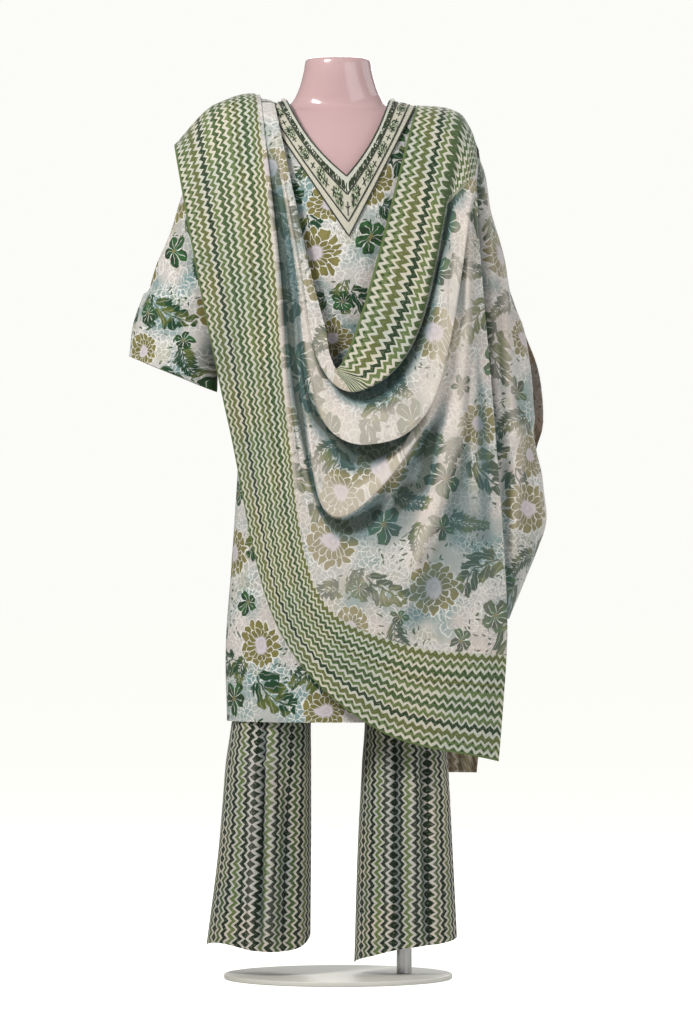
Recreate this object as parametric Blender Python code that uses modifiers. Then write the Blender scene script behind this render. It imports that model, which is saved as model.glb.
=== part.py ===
"""A kurta, straight trousers and a draped dupatta on a limbless dress form. Metres, +Z up.

The wearer's front looks along -Y. The origin is the middle of the base's underside.
"""

import math

import bmesh
import bpy
import numpy as np

# Cloth
WALL = 0.0012  # thickness of every cloth wall
SEAM = 0.0004  # gap between neighbours that are sewn together
BAND_LIFT = WALL + 0.0010  # how far the neck border lies off the front's base surface

# Kurta
UNDERARM = 1.170
HEM = 0.430
SHOULDER_TIP = 0.195
NECK_WIDE = 0.084  # half the neck opening at the shoulder seam
NECK_DROP_BACK = 1.436
NECK_ROUND_BACK = 2.5  # how square the back neck's curve is
SHOULDER_SEAM = 0.28  # share of a panel's width that one shoulder seam takes
V_POINT = (0.014, 1.329)
BAND_POINT = (0.018, 1.229)
NECK_BOW = 0.34  # how much the V's edges sag from straight lines
BAND_WIDE = 0.128  # half-width of the neck border at the shoulder seam
BAND_CROWDING = 2.2  # how much the border's rows crowd towards the shoulder seam
BAND_INSET = 0.0006  # the border's inner edge lies this far outside the front's neck edge
BAND_POINT_INSET = 0.002  # and this far above its lowest point
BINDING_ROWS = (0.0004, 0.006, 0.012)  # how far each row of the back binding lies below the neck edge
ARCH = 3.0  # how square the shoulders' section is: 2 is an ellipse
ARMHOLE_DEPTH = 0.50  # depth at the armhole's edge, as a share of the chest's
SLIT_TOP = 0.740
SLIT_OPEN = 0.006  # half the side slit's opening at the hem
SLEEVE_MIDDLE = 0.235

# Trousers
CROTCH = 0.700
HIP_FULL = 0.800  # above this the two legs make one hip section
WAIST = 0.998
LEG_APART = WALL + 2 * SEAM  # from the middle to a leg's inner edge at the crotch
LEG_MIDDLE = 0.080
WAISTBAND_TALL = 0.032
WAISTBAND_WALL = 0.0020
WAISTBAND_GAP = 0.0007
HEM_SHAPED_TO = 0.300  # the hem's slope fades out up to this height
CREASE_DEEP = 0.045  # depth of the legs' upright creases, as a share of the leg's
CREASE_WAVES = 7
CREASE_FADE = (0.42, 0.75)  # heights between which the creases die out

# Dress form and stand
BASE_RADIUS = 0.190
BASE_THICK = 0.008
POLE_RADIUS = 0.0125
POLE_X = 0.110  # the pole stands inside one trouser leg
FORM_BOTTOM = 0.815
SOCKET_TALL = 0.030
SOCKET_RADIUS = 0.030
RIM_SEGMENTS = 32
STAND_GAP = 0.0003

LEFT, RIGHT = -1, 1  # the viewer's


def table(columns, rows):
    """Named columns, as arrays."""
    return dict(zip(columns.split(), np.array(rows, float).T))


# Half-widths and depths of the kurta's body at each height
BODY = table("z wide front back", [
    (0.430, 0.184, 0.116, 0.124),
    (0.550, 0.186, 0.122, 0.130),
    (0.700, 0.176, 0.121, 0.132),
    (0.800, 0.169, 0.116, 0.127),
    (0.950, 0.161, 0.110, 0.110),
    (1.050, 0.162, 0.114, 0.104),
    (1.170, 0.172, 0.128, 0.106),
])

# Height of the kurta's shoulder line at each distance from the middle
SHOULDER = table("x z", [
    (0.000, 1.4620),
    (0.084, 1.4580),
    (0.130, 1.4490),
    (0.165, 1.4400),
    (0.195, 1.4220),
])

# Rings of the dress form
FORM = table("z wide front back", [
    (0.815, 0.138, 0.084, 0.094),
    (0.822, 0.148, 0.094, 0.104),
    (0.860, 0.148, 0.095, 0.104),
    (0.930, 0.134, 0.090, 0.092),
    (1.000, 0.123, 0.086, 0.082),
    (1.060, 0.127, 0.090, 0.082),
    (1.120, 0.138, 0.100, 0.088),
    (1.180, 0.150, 0.116, 0.094),
    (1.240, 0.156, 0.120, 0.096),
    (1.300, 0.161, 0.117, 0.094),
    (1.350, 0.164, 0.107, 0.087),
    (1.388, 0.163, 0.096, 0.077),
    (1.417, 0.150, 0.082, 0.064),
    (1.4382, 0.124, 0.063, 0.052),
    (1.4500, 0.094, 0.049, 0.047),
    (1.4602, 0.077, 0.046, 0.045),
    (1.480, 0.066, 0.047, 0.045),
    (1.508, 0.058, 0.049, 0.047),
    (1.526, 0.055, 0.048, 0.046),
    (1.531, 0.052, 0.045, 0.043),
    (1.533, 0.047, 0.040, 0.038),
])

# The two edges of each sleeve seen from the front, from the shoulder to the hem
SLEEVES = {
    LEFT: table("outer_x outer_z inner_x inner_z deep", [
        (0.235, 1.380, 0.180, 1.150, 0.062),
        (0.262, 1.297, 0.186, 1.112, 0.060),
        (0.300, 1.190, 0.193, 1.062, 0.057),
        (0.332, 1.105, 0.199, 1.018, 0.056),
        (0.350, 1.037, 0.203, 0.977, 0.056),
    ]),
    RIGHT: table("outer_x outer_z inner_x inner_z deep", [
        (0.2214, 1.3724, 0.177, 1.150, 0.056),
        (0.236, 1.297, 0.177, 1.112, 0.053),
        (0.262, 1.190, 0.175, 1.062, 0.051),
        (0.284, 1.105, 0.173, 1.020, 0.050),
        (0.300, 1.045, 0.172, 0.985, 0.050),
    ]),
}

# Each trouser leg's edges and depth at each height
LEGS = {
    LEFT: table("z outer inner deep", [
        (0.057, 0.218, 0.047, 0.074),
        (0.207, 0.199, 0.046, 0.072),
        (0.360, 0.186, 0.046, 0.074),
        (0.450, 0.173, 0.045, 0.080),
        (0.600, 0.163, 0.028, 0.080),
        (0.700, 0.161, LEG_APART, 0.082),
        (0.800, 0.158, LEG_APART, 0.088),
    ]),
    RIGHT: table("z outer inner deep", [
        (0.057, 0.197, 0.028, 0.074),
        (0.207, 0.190, 0.033, 0.072),
        (0.360, 0.182, 0.041, 0.074),
        (0.450, 0.173, 0.045, 0.080),
        (0.600, 0.163, 0.028, 0.080),
        (0.700, 0.161, LEG_APART, 0.082),
        (0.800, 0.158, LEG_APART, 0.088),
    ]),
}

# Hem heights of the legs, from the outer edge to the inner one
HEMS = {LEFT: (0.057, 0.062, 0.050, 0.052, 0.076), RIGHT: (0.070, 0.062, 0.055, 0.040, 0.027)}

# The trousers' hips and waist
HIPS = table("z wide front back", [
    (0.700, 0.161, 0.098, 0.112),
    (0.800, 0.158, 0.102, 0.114),
    (0.900, 0.147, 0.099, 0.106),
    (0.998, 0.1258, 0.0888, 0.0848),
])

# Height of the dupatta's line over the shoulders at each x
DRAPE_TOP = table("x z", [
    (-0.300, 1.350),
    (-0.285, 1.374),
    (-0.258, 1.400),
    (-0.225, 1.440),
    (-0.205, 1.449),
    (-0.170, 1.462),
    (-0.145, 1.468),
    (-0.125, 1.460),
    (-0.105, 1.4580),
    (0.000, 1.462),
    (0.100, 1.4585),
    (0.130, 1.4517),
    (0.170, 1.4480),
    (0.203, 1.437),
    (0.220, 1.411),
    (0.234, 1.378),
    (0.243, 1.340),
    (0.300, 1.230),
])

# Reach of the dupatta's base surface in front of the body at each height
DRAPE = table("z left right front", [
    (0.340, 0.200, 0.330, 0.142),
    (0.600, 0.190, 0.330, 0.142),
    (0.800, 0.190, 0.330, 0.142),
    (0.950, 0.215, 0.330, 0.142),
    (1.170, 0.285, 0.325, 0.143),
    (1.300, 0.315, 0.312, 0.142),
    (1.480, 0.325, 0.300, 0.140),
])

# The draped front: a row for each fold line, from the lower long edge to the upper one. Each runs
# from the left shoulder (a) down and round to the right (f), with its lift off the base surface.
FRONT = table("a_x a_z b_x b_z c_x c_z d_x d_z e_x e_z f_x f_z la lb lc ld le lf", [
    (-0.272, 1.386, -0.232, 1.170, -0.180, 0.920, -0.100, 0.590, 0.060, 0.422, 0.265, 0.365, 2, 3, 3, 3, 3, 3),
    (-0.200, 1.451, -0.167, 1.180, -0.131, 0.925, -0.070, 0.620, 0.080, 0.492, 0.272, 0.452, 6, 9, 8, 8, 7, 5),
    (-0.136, 1.466, -0.104, 1.190, -0.083, 0.930, -0.035, 0.650, 0.100, 0.562, 0.278, 0.540, 6, 12, 12, 11, 8, 5),
    (-0.132, 1.464, -0.098, 1.190, -0.072, 0.935, -0.012, 0.722, 0.118, 0.645, 0.279, 0.610, 5, 6, 10, 11, 7, 4),
    (-0.129, 1.462, -0.091, 1.190, -0.066, 0.940, -0.008, 0.742, 0.140, 0.745, 0.272, 0.740, 4, 2, 4, 6, 6, 4),
    (-0.126, 1.461, -0.085, 1.190, -0.060, 0.945, -0.006, 0.764, 0.145, 0.845, 0.255, 0.960, 4, 1, 3, 5, 6, 4),
    (-0.123, 1.459, -0.081, 1.190, -0.053, 0.947, -0.004, 0.782, 0.130, 0.912, 0.235, 1.190, 4, 2, 6, 24, 18, 5),
    (-0.120, 1.458, -0.076, 1.190, -0.046, 0.957, 0.036, 0.880, 0.146, 0.952, 0.229, 1.300, 4, 4, 5, 8, 6, 5),
    (-0.117, 1.457, -0.071, 1.190, -0.038, 0.965, 0.050, 0.902, 0.160, 0.985, 0.230, 1.350, 4, 5, 10, 32, 22, 8),
    (-0.114, 1.457, -0.065, 1.190, -0.031, 1.015, 0.042, 0.970, 0.136, 1.068, 0.222, 1.400, 4, 8, 7, 12, 7, 6),
    (-0.111, 1.4565, -0.059, 1.190, -0.030, 1.030, 0.036, 0.984, 0.125, 1.085, 0.195, 1.439, 3, 10, 12, 29, 18, 4),
    (-0.107, 1.4580, -0.050, 1.193, -0.022, 1.085, -0.002, 1.012, 0.045, 1.125, 0.131, 1.4516, 1, 6, 9, 22, 13, 1),
])
FRONT_STATIONS = "abcdef"
LIFT_UNIT = 0.001

# Soft folds across the front drape: a line from (x0, z0) to (x1, z1), its height and half-width
FRONT_FOLDS = table("x0 z0 x1 z1 high wide", [
    (0.210, 0.960, 0.135, 0.690, 0.008, 0.016),
    (0.215, 1.240, 0.226, 0.800, 0.005, 0.010),
    (0.195, 1.280, 0.190, 1.060, 0.004, 0.008),
    (0.250, 0.700, 0.236, 0.400, 0.004, 0.014),
    (-0.190, 1.300, -0.140, 0.950, 0.003, 0.012),
    (-0.150, 1.350, -0.110, 0.900, 0.003, 0.010),
    (0.020, 0.560, 0.130, 0.440, 0.004, 0.014),
])

# Sections of the dupatta round the right arm, from its front start past its outer edge to the back
ARM_FALL = table("z start_x start_y out back_x back_y", [
    (1.366, 0.212, -0.0332, 0.2338, 0.212, 0.0332),
    (1.335, 0.214, -0.052, 0.2430, 0.210, 0.052),
    (1.285, 0.217, -0.062, 0.2510, 0.205, 0.064),
    (1.243, 0.219, -0.065, 0.2640, 0.200, 0.072),
    (1.193, 0.222, -0.066, 0.2770, 0.192, 0.080),
    (1.145, 0.226, -0.066, 0.2850, 0.186, 0.086),
    (1.080, 0.232, -0.066, 0.3030, 0.182, 0.090),
    (1.000, 0.240, -0.066, 0.3180, 0.182, 0.094),
    (0.940, 0.246, -0.066, 0.3240, 0.185, 0.094),
    (0.880, 0.251, -0.066, 0.3270, 0.190, 0.092),
    (0.820, 0.255, -0.066, 0.3380, 0.200, 0.090),
    (0.768, 0.259, -0.065, 0.3460, 0.210, 0.085),
    (0.720, 0.262, -0.063, 0.3330, 0.220, 0.078),
    (0.670, 0.266, -0.060, 0.3130, 0.235, 0.070),
    (0.622, 0.270, -0.056, 0.2930, 0.250, 0.058),
    (0.600, 0.273, -0.052, 0.2840, 0.262, 0.048),
])

# Edges of the two ends that hang down the back
TAILS = {
    LEFT: table("z inner outer", [
        (1.300, -0.114, -0.250),
        (1.150, -0.085, -0.214),
        (0.950, -0.052, -0.162),
        (0.800, -0.040, -0.149),
        (0.700, -0.034, -0.147),
    ]),
    RIGHT: table("z inner outer", [
        (1.300, 0.104, 0.251),
        (1.180, 0.078, 0.279),
        (1.080, 0.066, 0.312),
        (1.010, 0.062, 0.336),
        (0.930, 0.062, 0.343),
        (0.880, 0.065, 0.331),
        (0.760, 0.074, 0.300),
        (0.600, 0.092, 0.268),
        (0.460, 0.112, 0.246),
        (0.338, 0.130, 0.233),
    ]),
}
TAIL_TOPS = {LEFT: (-0.136, -0.272), RIGHT: (0.131, 0.234)}
TAIL_DEEP = 0.142
TAIL_REACH = 0.370
TAIL_PLEATS = {LEFT: 4, RIGHT: 5}
PLEAT_DEEP = 0.006
PLEAT_FADE = (1.25, 1.44)  # heights between which the pleats die out
FOLD_FADE = 0.05  # half the length over which a soft fold's ends die out
TOP_LEAST = 0.03  # least height from the underarm to the dupatta's line, past its ends
EDGE_LEAST = 0.02  # least squared depth share at the dupatta's sides
ARM_MIDDLE = 0.220


def spline(values, at):
    """Catmull-Rom curve through the rows of values, one apart, read at the numbers in at."""
    values = np.asarray(values, float)
    at = np.asarray(at, float)
    first = np.clip(np.floor(at).astype(int), 0, len(values) - 2)
    part = (at - first).reshape(at.shape + (1,) * (values.ndim - 1))
    ends = np.concatenate([[2 * values[0] - values[1]], values, [2 * values[-1] - values[-2]]])
    p0, p1, p2, p3 = (ends[first + i] for i in range(4))
    return p1 + 0.5 * part * (
        p2 - p0 + part * (2 * p0 - 5 * p1 + 4 * p2 - p3 + part * (3 * (p1 - p2) + p3 - p0))
    )


def read(rows, column, at, key="z"):
    """A table's column at a value of its key, as a smooth curve."""
    keys = rows[key]
    place = np.interp(at, keys, np.arange(len(keys)))
    return spline(rows[column], place)


def eased(low, high, at):
    part = np.clip((np.asarray(at, float) - low) / (high - low), 0, 1)
    return part * part * (3 - 2 * part)


def arch(height):
    """Depth left at a share of the way from the underarm to the shoulder line."""
    return (1 - np.clip(height, 0, 1) ** ARCH) ** (1 / ARCH)


def shoulder_line(x):
    return read(SHOULDER, "z", np.abs(x), "x")


def armhole_x(z):
    """Distance of the armhole's edge from the middle at a height."""
    part = (z - UNDERARM) / (SHOULDER["z"][-1] - UNDERARM)
    return BODY["wide"][-1] + (SHOULDER_TIP - BODY["wide"][-1]) * np.clip(part, 0, 1)


def yoke_depth(x, z, full):
    """Depth of the kurta above the underarm, for a chest or a back that is full deep."""
    height = (z - UNDERARM) / (shoulder_line(x) - UNDERARM)
    edge = ARMHOLE_DEPTH * eased(UNDERARM, UNDERARM + 0.1, z)
    across = np.clip(np.abs(x) / armhole_x(z), 0, 1)
    return full * arch(height) * np.sqrt(1 - across**2 * (1 - edge**2))


def rising(count, power=2.0):
    """Shares from 0 to 1 that crowd towards 1, where a shoulder rounds over."""
    return 1 - (1 - np.linspace(0, 1, count)) ** power


def new_material(name, colour, roughness, metallic=0.0):
    material = bpy.data.materials.new(name)
    material.use_nodes = True
    shader = material.node_tree.nodes["Principled BSDF"]
    shader.inputs["Base Color"].default_value = (*colour, 1)
    shader.inputs["Roughness"].default_value = roughness
    shader.inputs["Metallic"].default_value = metallic
    return material


def place(name, mesh, colour, roughness, metallic=0.0):
    """Makes the mesh a named object of the set, with its own material."""
    piece = bpy.data.objects.new(name, mesh)
    bpy.data.collections["kurta_set"].objects.link(piece)
    mesh.materials.append(new_material(name, colour, roughness, metallic))
    mesh.shade_smooth()
    mesh.set_sharp_from_angle(angle=math.radians(40))
    return piece


def lofted(name, points, closed=False, caps=False):
    """A mesh through a grid of points, row by row, closed round the rows if asked."""
    rows, count = points.shape[:2]
    steps = count if closed else count - 1
    faces = []
    for row in range(rows - 1):
        for i in range(steps):
            j = (i + 1) % count
            faces.append((row * count + i, row * count + j, (row + 1) * count + j, (row + 1) * count + i))
    if caps:
        faces.append(tuple(range(count))[::-1])
        faces.append(tuple((rows - 1) * count + i for i in range(count)))
    mesh = bpy.data.meshes.new(name)
    mesh.from_pydata([tuple(p) for p in points.reshape(-1, 3)], [], faces)
    return mesh


def faced_outwards(mesh, centres):
    """Turns all faces if most of them look towards the centre that goes with their place."""
    turn = sum(
        face.normal.dot(face.center - centres(face.center)) * face.area for face in mesh.polygons
    )
    if turn < 0:
        mesh.flip_normals()


def upright_axis(x=0.0, y=0.0):
    """Centres on an upright line through (x, y)."""
    return lambda place_: type(place_)((x, y, place_.z))


def add_cloth(name, points, colour, centres, closed=False, outwards=True, wall=WALL):
    """A cloth wall: the open surface through the points, thickened to one side."""
    mesh = lofted(name, points, closed)
    faced_outwards(mesh, centres)
    piece = place(name, mesh, colour, 0.85)
    solid = piece.modifiers.new("Wall", "SOLIDIFY")
    solid.thickness = wall
    solid.offset = 1.0 if outwards else -1.0
    return piece


def stack(x, y, z):
    x, y, z = np.broadcast_arrays(x, y, z)
    return np.stack([x, y, z], axis=-1)


def upright_axis_point(points):
    """The nearest points of the upright axis through the origin."""
    return points * (0, 0, 1)


def moved_out(points, distance, centres):
    """A grid of points moved along its own normals, away from the centres."""
    normals = np.cross(np.gradient(points, axis=0), np.gradient(points, axis=1))
    normals /= np.linalg.norm(normals, axis=-1, keepdims=True)
    facing = np.sign(np.sum(normals * (points - centres(points))))
    return points + facing * distance * normals


def body_panel(front, across=18, low_rows=8, high_rows=11):
    """The kurta's front or back: a grid from the hem to the shoulder seams and the neck."""
    share = np.linspace(0, 1, across + 1)
    angle = (share - 0.5) * math.pi
    side = -1 if front else 1
    column = "front" if front else "back"
    rows = []
    for z in np.linspace(HEM, UNDERARM, low_rows + 1):
        slit = SLIT_OPEN * (1 - eased(HEM, SLIT_TOP, z)) * np.abs(np.sin(angle)) ** 8
        x = read(BODY, "wide", z) * np.sin(angle)
        y = SEAM / 2 + slit + read(BODY, column, z) * np.cos(angle)
        rows.append(stack(x, side * y, z))
    wide, full = BODY["wide"][-1], BODY[column][-1]
    top_x, top_z = neck_edge(share, front)
    for part in rising(high_rows + 1)[1:]:
        x = wide * np.sin(angle) * (1 - part) + top_x * part
        z = UNDERARM + (top_z - UNDERARM) * part
        rows.append(stack(x, side * (SEAM / 2 + yoke_depth(x, z, full)), z))
    return np.array(rows)


def neck_edge(share, front):
    """The panel's top edge: a shoulder seam, the neck, and the other shoulder seam."""
    middle = V_POINT[0] if front else 0.0
    rise = 1 - (1 - np.minimum(np.abs(share - 0.5) / (0.5 - SHOULDER_SEAM), 1)) ** 2
    side = np.sign(share - 0.5)
    inside = rise < 1
    out = np.interp(np.abs(share - 0.5), [0.5 - SHOULDER_SEAM, 0.5], [NECK_WIDE, SHOULDER_TIP])
    x = np.where(inside, middle + (side * NECK_WIDE - middle) * rise, side * out)
    z = shoulder_line(x)
    if front:
        neck = V_POINT[1] + (shoulder_line(NECK_WIDE) - V_POINT[1]) * sagged(rise, NECK_BOW)
    else:
        drop = np.abs(x) / NECK_WIDE
        neck = NECK_DROP_BACK + (shoulder_line(NECK_WIDE) - NECK_DROP_BACK) * drop**NECK_ROUND_BACK
    return x, np.where(inside, neck, z)


def sagged(rise, bow):
    """A rise from 0 to 1 that starts less steeply than it ends."""
    return rise * (1 - bow * (1 - rise**2))


def neck_band_points(across=4, down=14):
    """The V border: one strip from a shoulder seam to the point and up to the other seam."""
    strips = []
    falls = np.linspace(-1, 1, 2 * down + 1)
    for part in np.linspace(0, 1, across + 1):
        point_x = V_POINT[0] + (BAND_POINT[0] - V_POINT[0]) * part
        top = V_POINT[1] + BAND_POINT_INSET
        point_z = top + (BAND_POINT[1] - top) * part
        wide = NECK_WIDE + BAND_INSET + (BAND_WIDE - NECK_WIDE) * part
        rise = 1 - (1 - np.abs(falls)) ** BAND_CROWDING
        x = np.where(falls < 0, point_x + (-wide - point_x) * rise, point_x + (wide - point_x) * rise)
        seam = shoulder_line(wide)
        z = point_z + (seam - point_z) * sagged(rise, NECK_BOW * (1 - part))
        z = np.minimum(z, shoulder_line(x))
        strips.append(stack(x, -SEAM / 2 - yoke_depth(x, z, BODY["front"][-1]), z))
    return moved_out(np.array(strips), BAND_LIFT, upright_axis_point)


def neck_binding_points(across=20):
    """The narrow binding on the back neck's edge."""
    share = np.linspace(0.30, 0.70, across + 1)
    x, z = neck_edge(share, False)
    rows = []
    for down in BINDING_ROWS:
        low = z - down
        rows.append(stack(x, SEAM / 2 + yoke_depth(x, low, BODY["back"][-1]), low))
    return moved_out(np.array(rows), BAND_LIFT + SEAM, upright_axis_point)


def sleeve_points(side, around=18, rows=7):
    """Rings from the armhole to the hem. Each runs from the outer edge over the front."""
    turn = np.linspace(0, 2 * math.pi, around, endpoint=False)
    rails = SLEEVES[side]
    tip = shoulder_line(SHOULDER_TIP)
    middle, half = (tip + UNDERARM) / 2, (tip - UNDERARM) / 2
    z = middle + half * np.cos(turn)
    edge = armhole_x(z)
    full = np.where(np.sin(turn) >= 0, BODY["front"][-1], BODY["back"][-1])
    deep = yoke_depth(edge, z, full)
    armhole = stack(side * (edge + WALL + SEAM), -deep * np.sign(np.sin(turn)), z)
    rings = [armhole]
    for at in np.linspace(0, len(rails["deep"]) - 1, rows):
        outer_x, outer_z, inner_x, inner_z, depth = (float(spline(rails[c], at)) for c in rails)
        x = (outer_x + inner_x) / 2 + (outer_x - inner_x) / 2 * np.cos(turn)
        z = (outer_z + inner_z) / 2 + (outer_z - inner_z) / 2 * np.cos(turn)
        rings.append(stack(side * x, -depth * np.sin(turn), z))
    return np.array(rings)


def leg_panel(side, front, across=8, low_rows=8, high_rows=4):
    """One leg's front or back panel, from the hem to the waist."""
    share = np.linspace(0, 1, across + 1)
    turn = (share - 0.5) * math.pi
    quarter = share * math.pi / 2
    legs, face = LEGS[side], -1 if front else 1
    column = "front" if front else "back"
    hem = spline(HEMS[side], share * 4)
    rings = []
    below = np.linspace(legs["z"][0], CROTCH, low_rows)
    across_crotch = np.linspace(CROTCH, HIP_FULL, high_rows)[1:]
    above = np.linspace(HIP_FULL, WAIST, high_rows)[1:]
    for z in np.concatenate([below, across_crotch, above]):
        low = min(z, legs["z"][-1])
        outer, inner, deep = (float(read(legs, c, low)) for c in ("outer", "inner", "deep"))
        inner = max(inner, LEG_APART)
        apart = SEAM / 2 + WALL * (1 - eased(HIP_FULL, WAIST, z))
        crease = CREASE_DEEP * (1 - eased(*CREASE_FADE, z)) * np.cos(CREASE_WAVES * turn + side)
        leg_x = (outer + inner) / 2 - (outer - inner) / 2 * np.sin(turn)
        leg_y = deep * np.cos(turn) * (1 + crease)
        wide, full = float(read(HIPS, "wide", max(z, CROTCH))), float(read(HIPS, column, max(z, CROTCH)))
        hip_x = apart + (wide - apart) * np.cos(quarter)
        hip_y = full * np.sin(quarter)
        blend = eased(CROTCH, HIP_FULL, z)
        x = leg_x * (1 - blend) + hip_x * blend
        y = SEAM / 2 + leg_y * (1 - blend) + hip_y * blend
        height = z + (hem - legs["z"][0]) * (1 - eased(legs["z"][0], HEM_SHAPED_TO, z))
        rings.append(stack(side * x, face * y, height))
    return np.array(rings)


def ring(wide, front, back, z, around, middle=0.0):
    turn = np.linspace(0, 2 * math.pi, around, endpoint=False)
    deep = np.where(np.sin(turn) < 0, front, back)
    return stack(middle + wide * np.cos(turn), deep * np.sin(turn), z)


def drape_top(x):
    return read(DRAPE_TOP, "z", x, "x")


def drape_base(x, z, full=None):
    """Depth of the dupatta's base surface, and its share of the way to the shoulder line."""
    reach = np.where(x < 0, read(DRAPE, "left", z), read(DRAPE, "right", z))
    height = (z - UNDERARM) / np.maximum(drape_top(x) - UNDERARM, TOP_LEAST)
    across = np.sqrt(np.maximum(1 - (x / reach) ** 2, EDGE_LEAST))
    depth = (read(DRAPE, "front", z) if full is None else full) * arch(height) * across
    return depth, np.clip(height, 0, 1)


def fold_relief(x, z, folds):
    """Height of a table's soft folds at a place on the cloth."""
    total = np.zeros_like(x)
    for i in range(len(folds["high"])):
        x0, z0, x1, z1, high, wide = (folds[c][i] for c in folds)
        length = math.hypot(x1 - x0, z1 - z0)
        along = ((x - x0) * (x1 - x0) + (z - z0) * (z1 - z0)) / length
        off = ((x - x0) * (z1 - z0) - (z - z0) * (x1 - x0)) / length
        start = eased(-FOLD_FADE, FOLD_FADE, along)
        ends = start * (1 - eased(length - FOLD_FADE, length + FOLD_FADE, along))
        total += high * ends * np.exp(-((off / wide) ** 2))
    return total


def front_drape(per_station=8, per_fold=2):
    """The draped front as a grid: rows are fold lines, columns run from shoulder to right edge."""
    x_net = np.stack([FRONT[s + "_x"] for s in FRONT_STATIONS], axis=1)
    z_net = np.stack([FRONT[s + "_z"] for s in FRONT_STATIONS], axis=1)
    lift_net = np.stack([FRONT["l" + s] for s in FRONT_STATIONS], axis=1) * LIFT_UNIT
    net = np.stack([x_net, z_net, lift_net], axis=-1)
    last = len(FRONT_STATIONS) - 1
    share = np.linspace(0, 1, last * per_station + 1)
    along = last * eased(0, 1, share)
    rows = spline(net, np.linspace(0, len(net) - 1, (len(net) - 1) * per_fold + 1))
    grid = spline(np.swapaxes(rows, 0, 1), along)
    x, z, lift = (np.swapaxes(grid[..., i], 0, 1) for i in range(3))
    depth, height = drape_base(x, z)
    lift = np.maximum(lift, 0) + fold_relief(x, z, FRONT_FOLDS)
    lean = height ** (ARCH - 1) * math.pi / 2
    return stack(x, -SEAM / 2 - depth - lift * np.cos(lean), z + lift * np.sin(lean))


def arm_fall(around=12, rows=18):
    """The stretch round the right arm, from behind the front's right edge to the back."""
    turn = np.linspace(-math.pi / 2, math.pi / 2, around + 1)
    rings = []
    for at in np.linspace(0, len(ARM_FALL["z"]) - 1, rows + 1):
        z, start_x, start_y, out, back_x, back_y = (float(spline(ARM_FALL[c], at)) for c in ARM_FALL)
        inner = np.where(turn < 0, start_x, back_x)
        deep = np.where(turn < 0, -start_y, back_y)
        rings.append(stack(inner + (out - inner) * np.cos(turn), deep * np.sin(turn), z))
    return np.array(rings)


def tail(side, across=16, low_rows=12, high_rows=7):
    """An end of the dupatta hanging down the back from a shoulder, in soft pleats."""
    share = np.linspace(0, 1, across + 1)
    edges, tops = TAILS[side], TAIL_TOPS[side]
    top_x = tops[0] + (tops[1] - tops[0]) * share
    order = np.arange(len(edges["z"]))
    rows = []
    first_x = edges["inner"][0] + (edges["outer"][0] - edges["inner"][0]) * share
    first_z = edges["z"][0]
    for part in rising(high_rows + 1)[:0:-1]:
        x = first_x + (top_x - first_x) * part
        rows.append((x, first_z + (drape_top(top_x) - first_z) * part))
    for at in np.linspace(0, order[-1], low_rows + 1):
        inner, outer, z = (float(spline(edges[c], at)) for c in ("inner", "outer", "z"))
        rows.append((inner + (outer - inner) * share, np.full(across + 1, z)))
    grid = []
    for x, z in rows:
        depth = tail_depth(x, z)
        pleat = PLEAT_DEEP * (1 - np.cos(2 * math.pi * TAIL_PLEATS[side] * share)) / 2
        pleat = pleat * (1 - eased(*PLEAT_FADE, z))
        grid.append(stack(x, SEAM / 2 + depth + pleat, z))
    return np.array(grid)


def tail_depth(x, z):
    height = (z - UNDERARM) / np.maximum(drape_top(x) - UNDERARM, TOP_LEAST)
    return TAIL_DEEP * arch(height) * np.sqrt(np.maximum(1 - (x / TAIL_REACH) ** 2, EDGE_LEAST))


def add_kurta():
    pale = (0.62, 0.62, 0.58)
    axis = upright_axis()
    add_cloth("kurta_front", body_panel(True), pale, axis)
    add_cloth("kurta_back", body_panel(False), pale, axis)
    for side, name in ((LEFT, "sleeve_left"), (RIGHT, "sleeve_right")):
        points = sleeve_points(side)
        axis_in_sleeve = upright_axis(side * SLEEVE_MIDDLE)
        add_cloth(name, points, pale, axis_in_sleeve, closed=True, outwards=False)
    green = (0.10, 0.16, 0.09)
    add_cloth("neck_band", neck_band_points(), green, axis)
    add_cloth("neck_band_back", neck_binding_points(), green, axis)


def add_trousers():
    stripes = (0.25, 0.33, 0.17)
    for side, word in ((LEFT, "left"), (RIGHT, "right")):
        for front, face in ((True, "front"), (False, "back")):
            axis = upright_axis(side * LEG_MIDDLE)
            add_cloth(f"trouser_{word}_{face}", leg_panel(side, front), stripes, axis)
    wide, front, back = (float(read(HIPS, c, WAIST)) for c in ("wide", "front", "back"))
    low = WAIST + WAISTBAND_GAP
    rings = [ring(wide, front, back, z, 36) for z in (low, low + WAISTBAND_TALL)]
    points = np.array(rings)
    add_cloth("trouser_waistband", points, stripes, upright_axis(), closed=True, wall=WAISTBAND_WALL)


def add_dupatta():
    pale_green = (0.45, 0.50, 0.38)
    add_cloth("dupatta_front", front_drape(), pale_green, upright_axis())
    add_cloth("dupatta_arm_fall", arm_fall(), pale_green, upright_axis(ARM_MIDDLE))
    add_cloth("dupatta_tail_left", tail(LEFT, 16, 5, 5), pale_green, upright_axis())
    add_cloth("dupatta_tail_right", tail(RIGHT, 20, 9, 5), pale_green, upright_axis())


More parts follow.
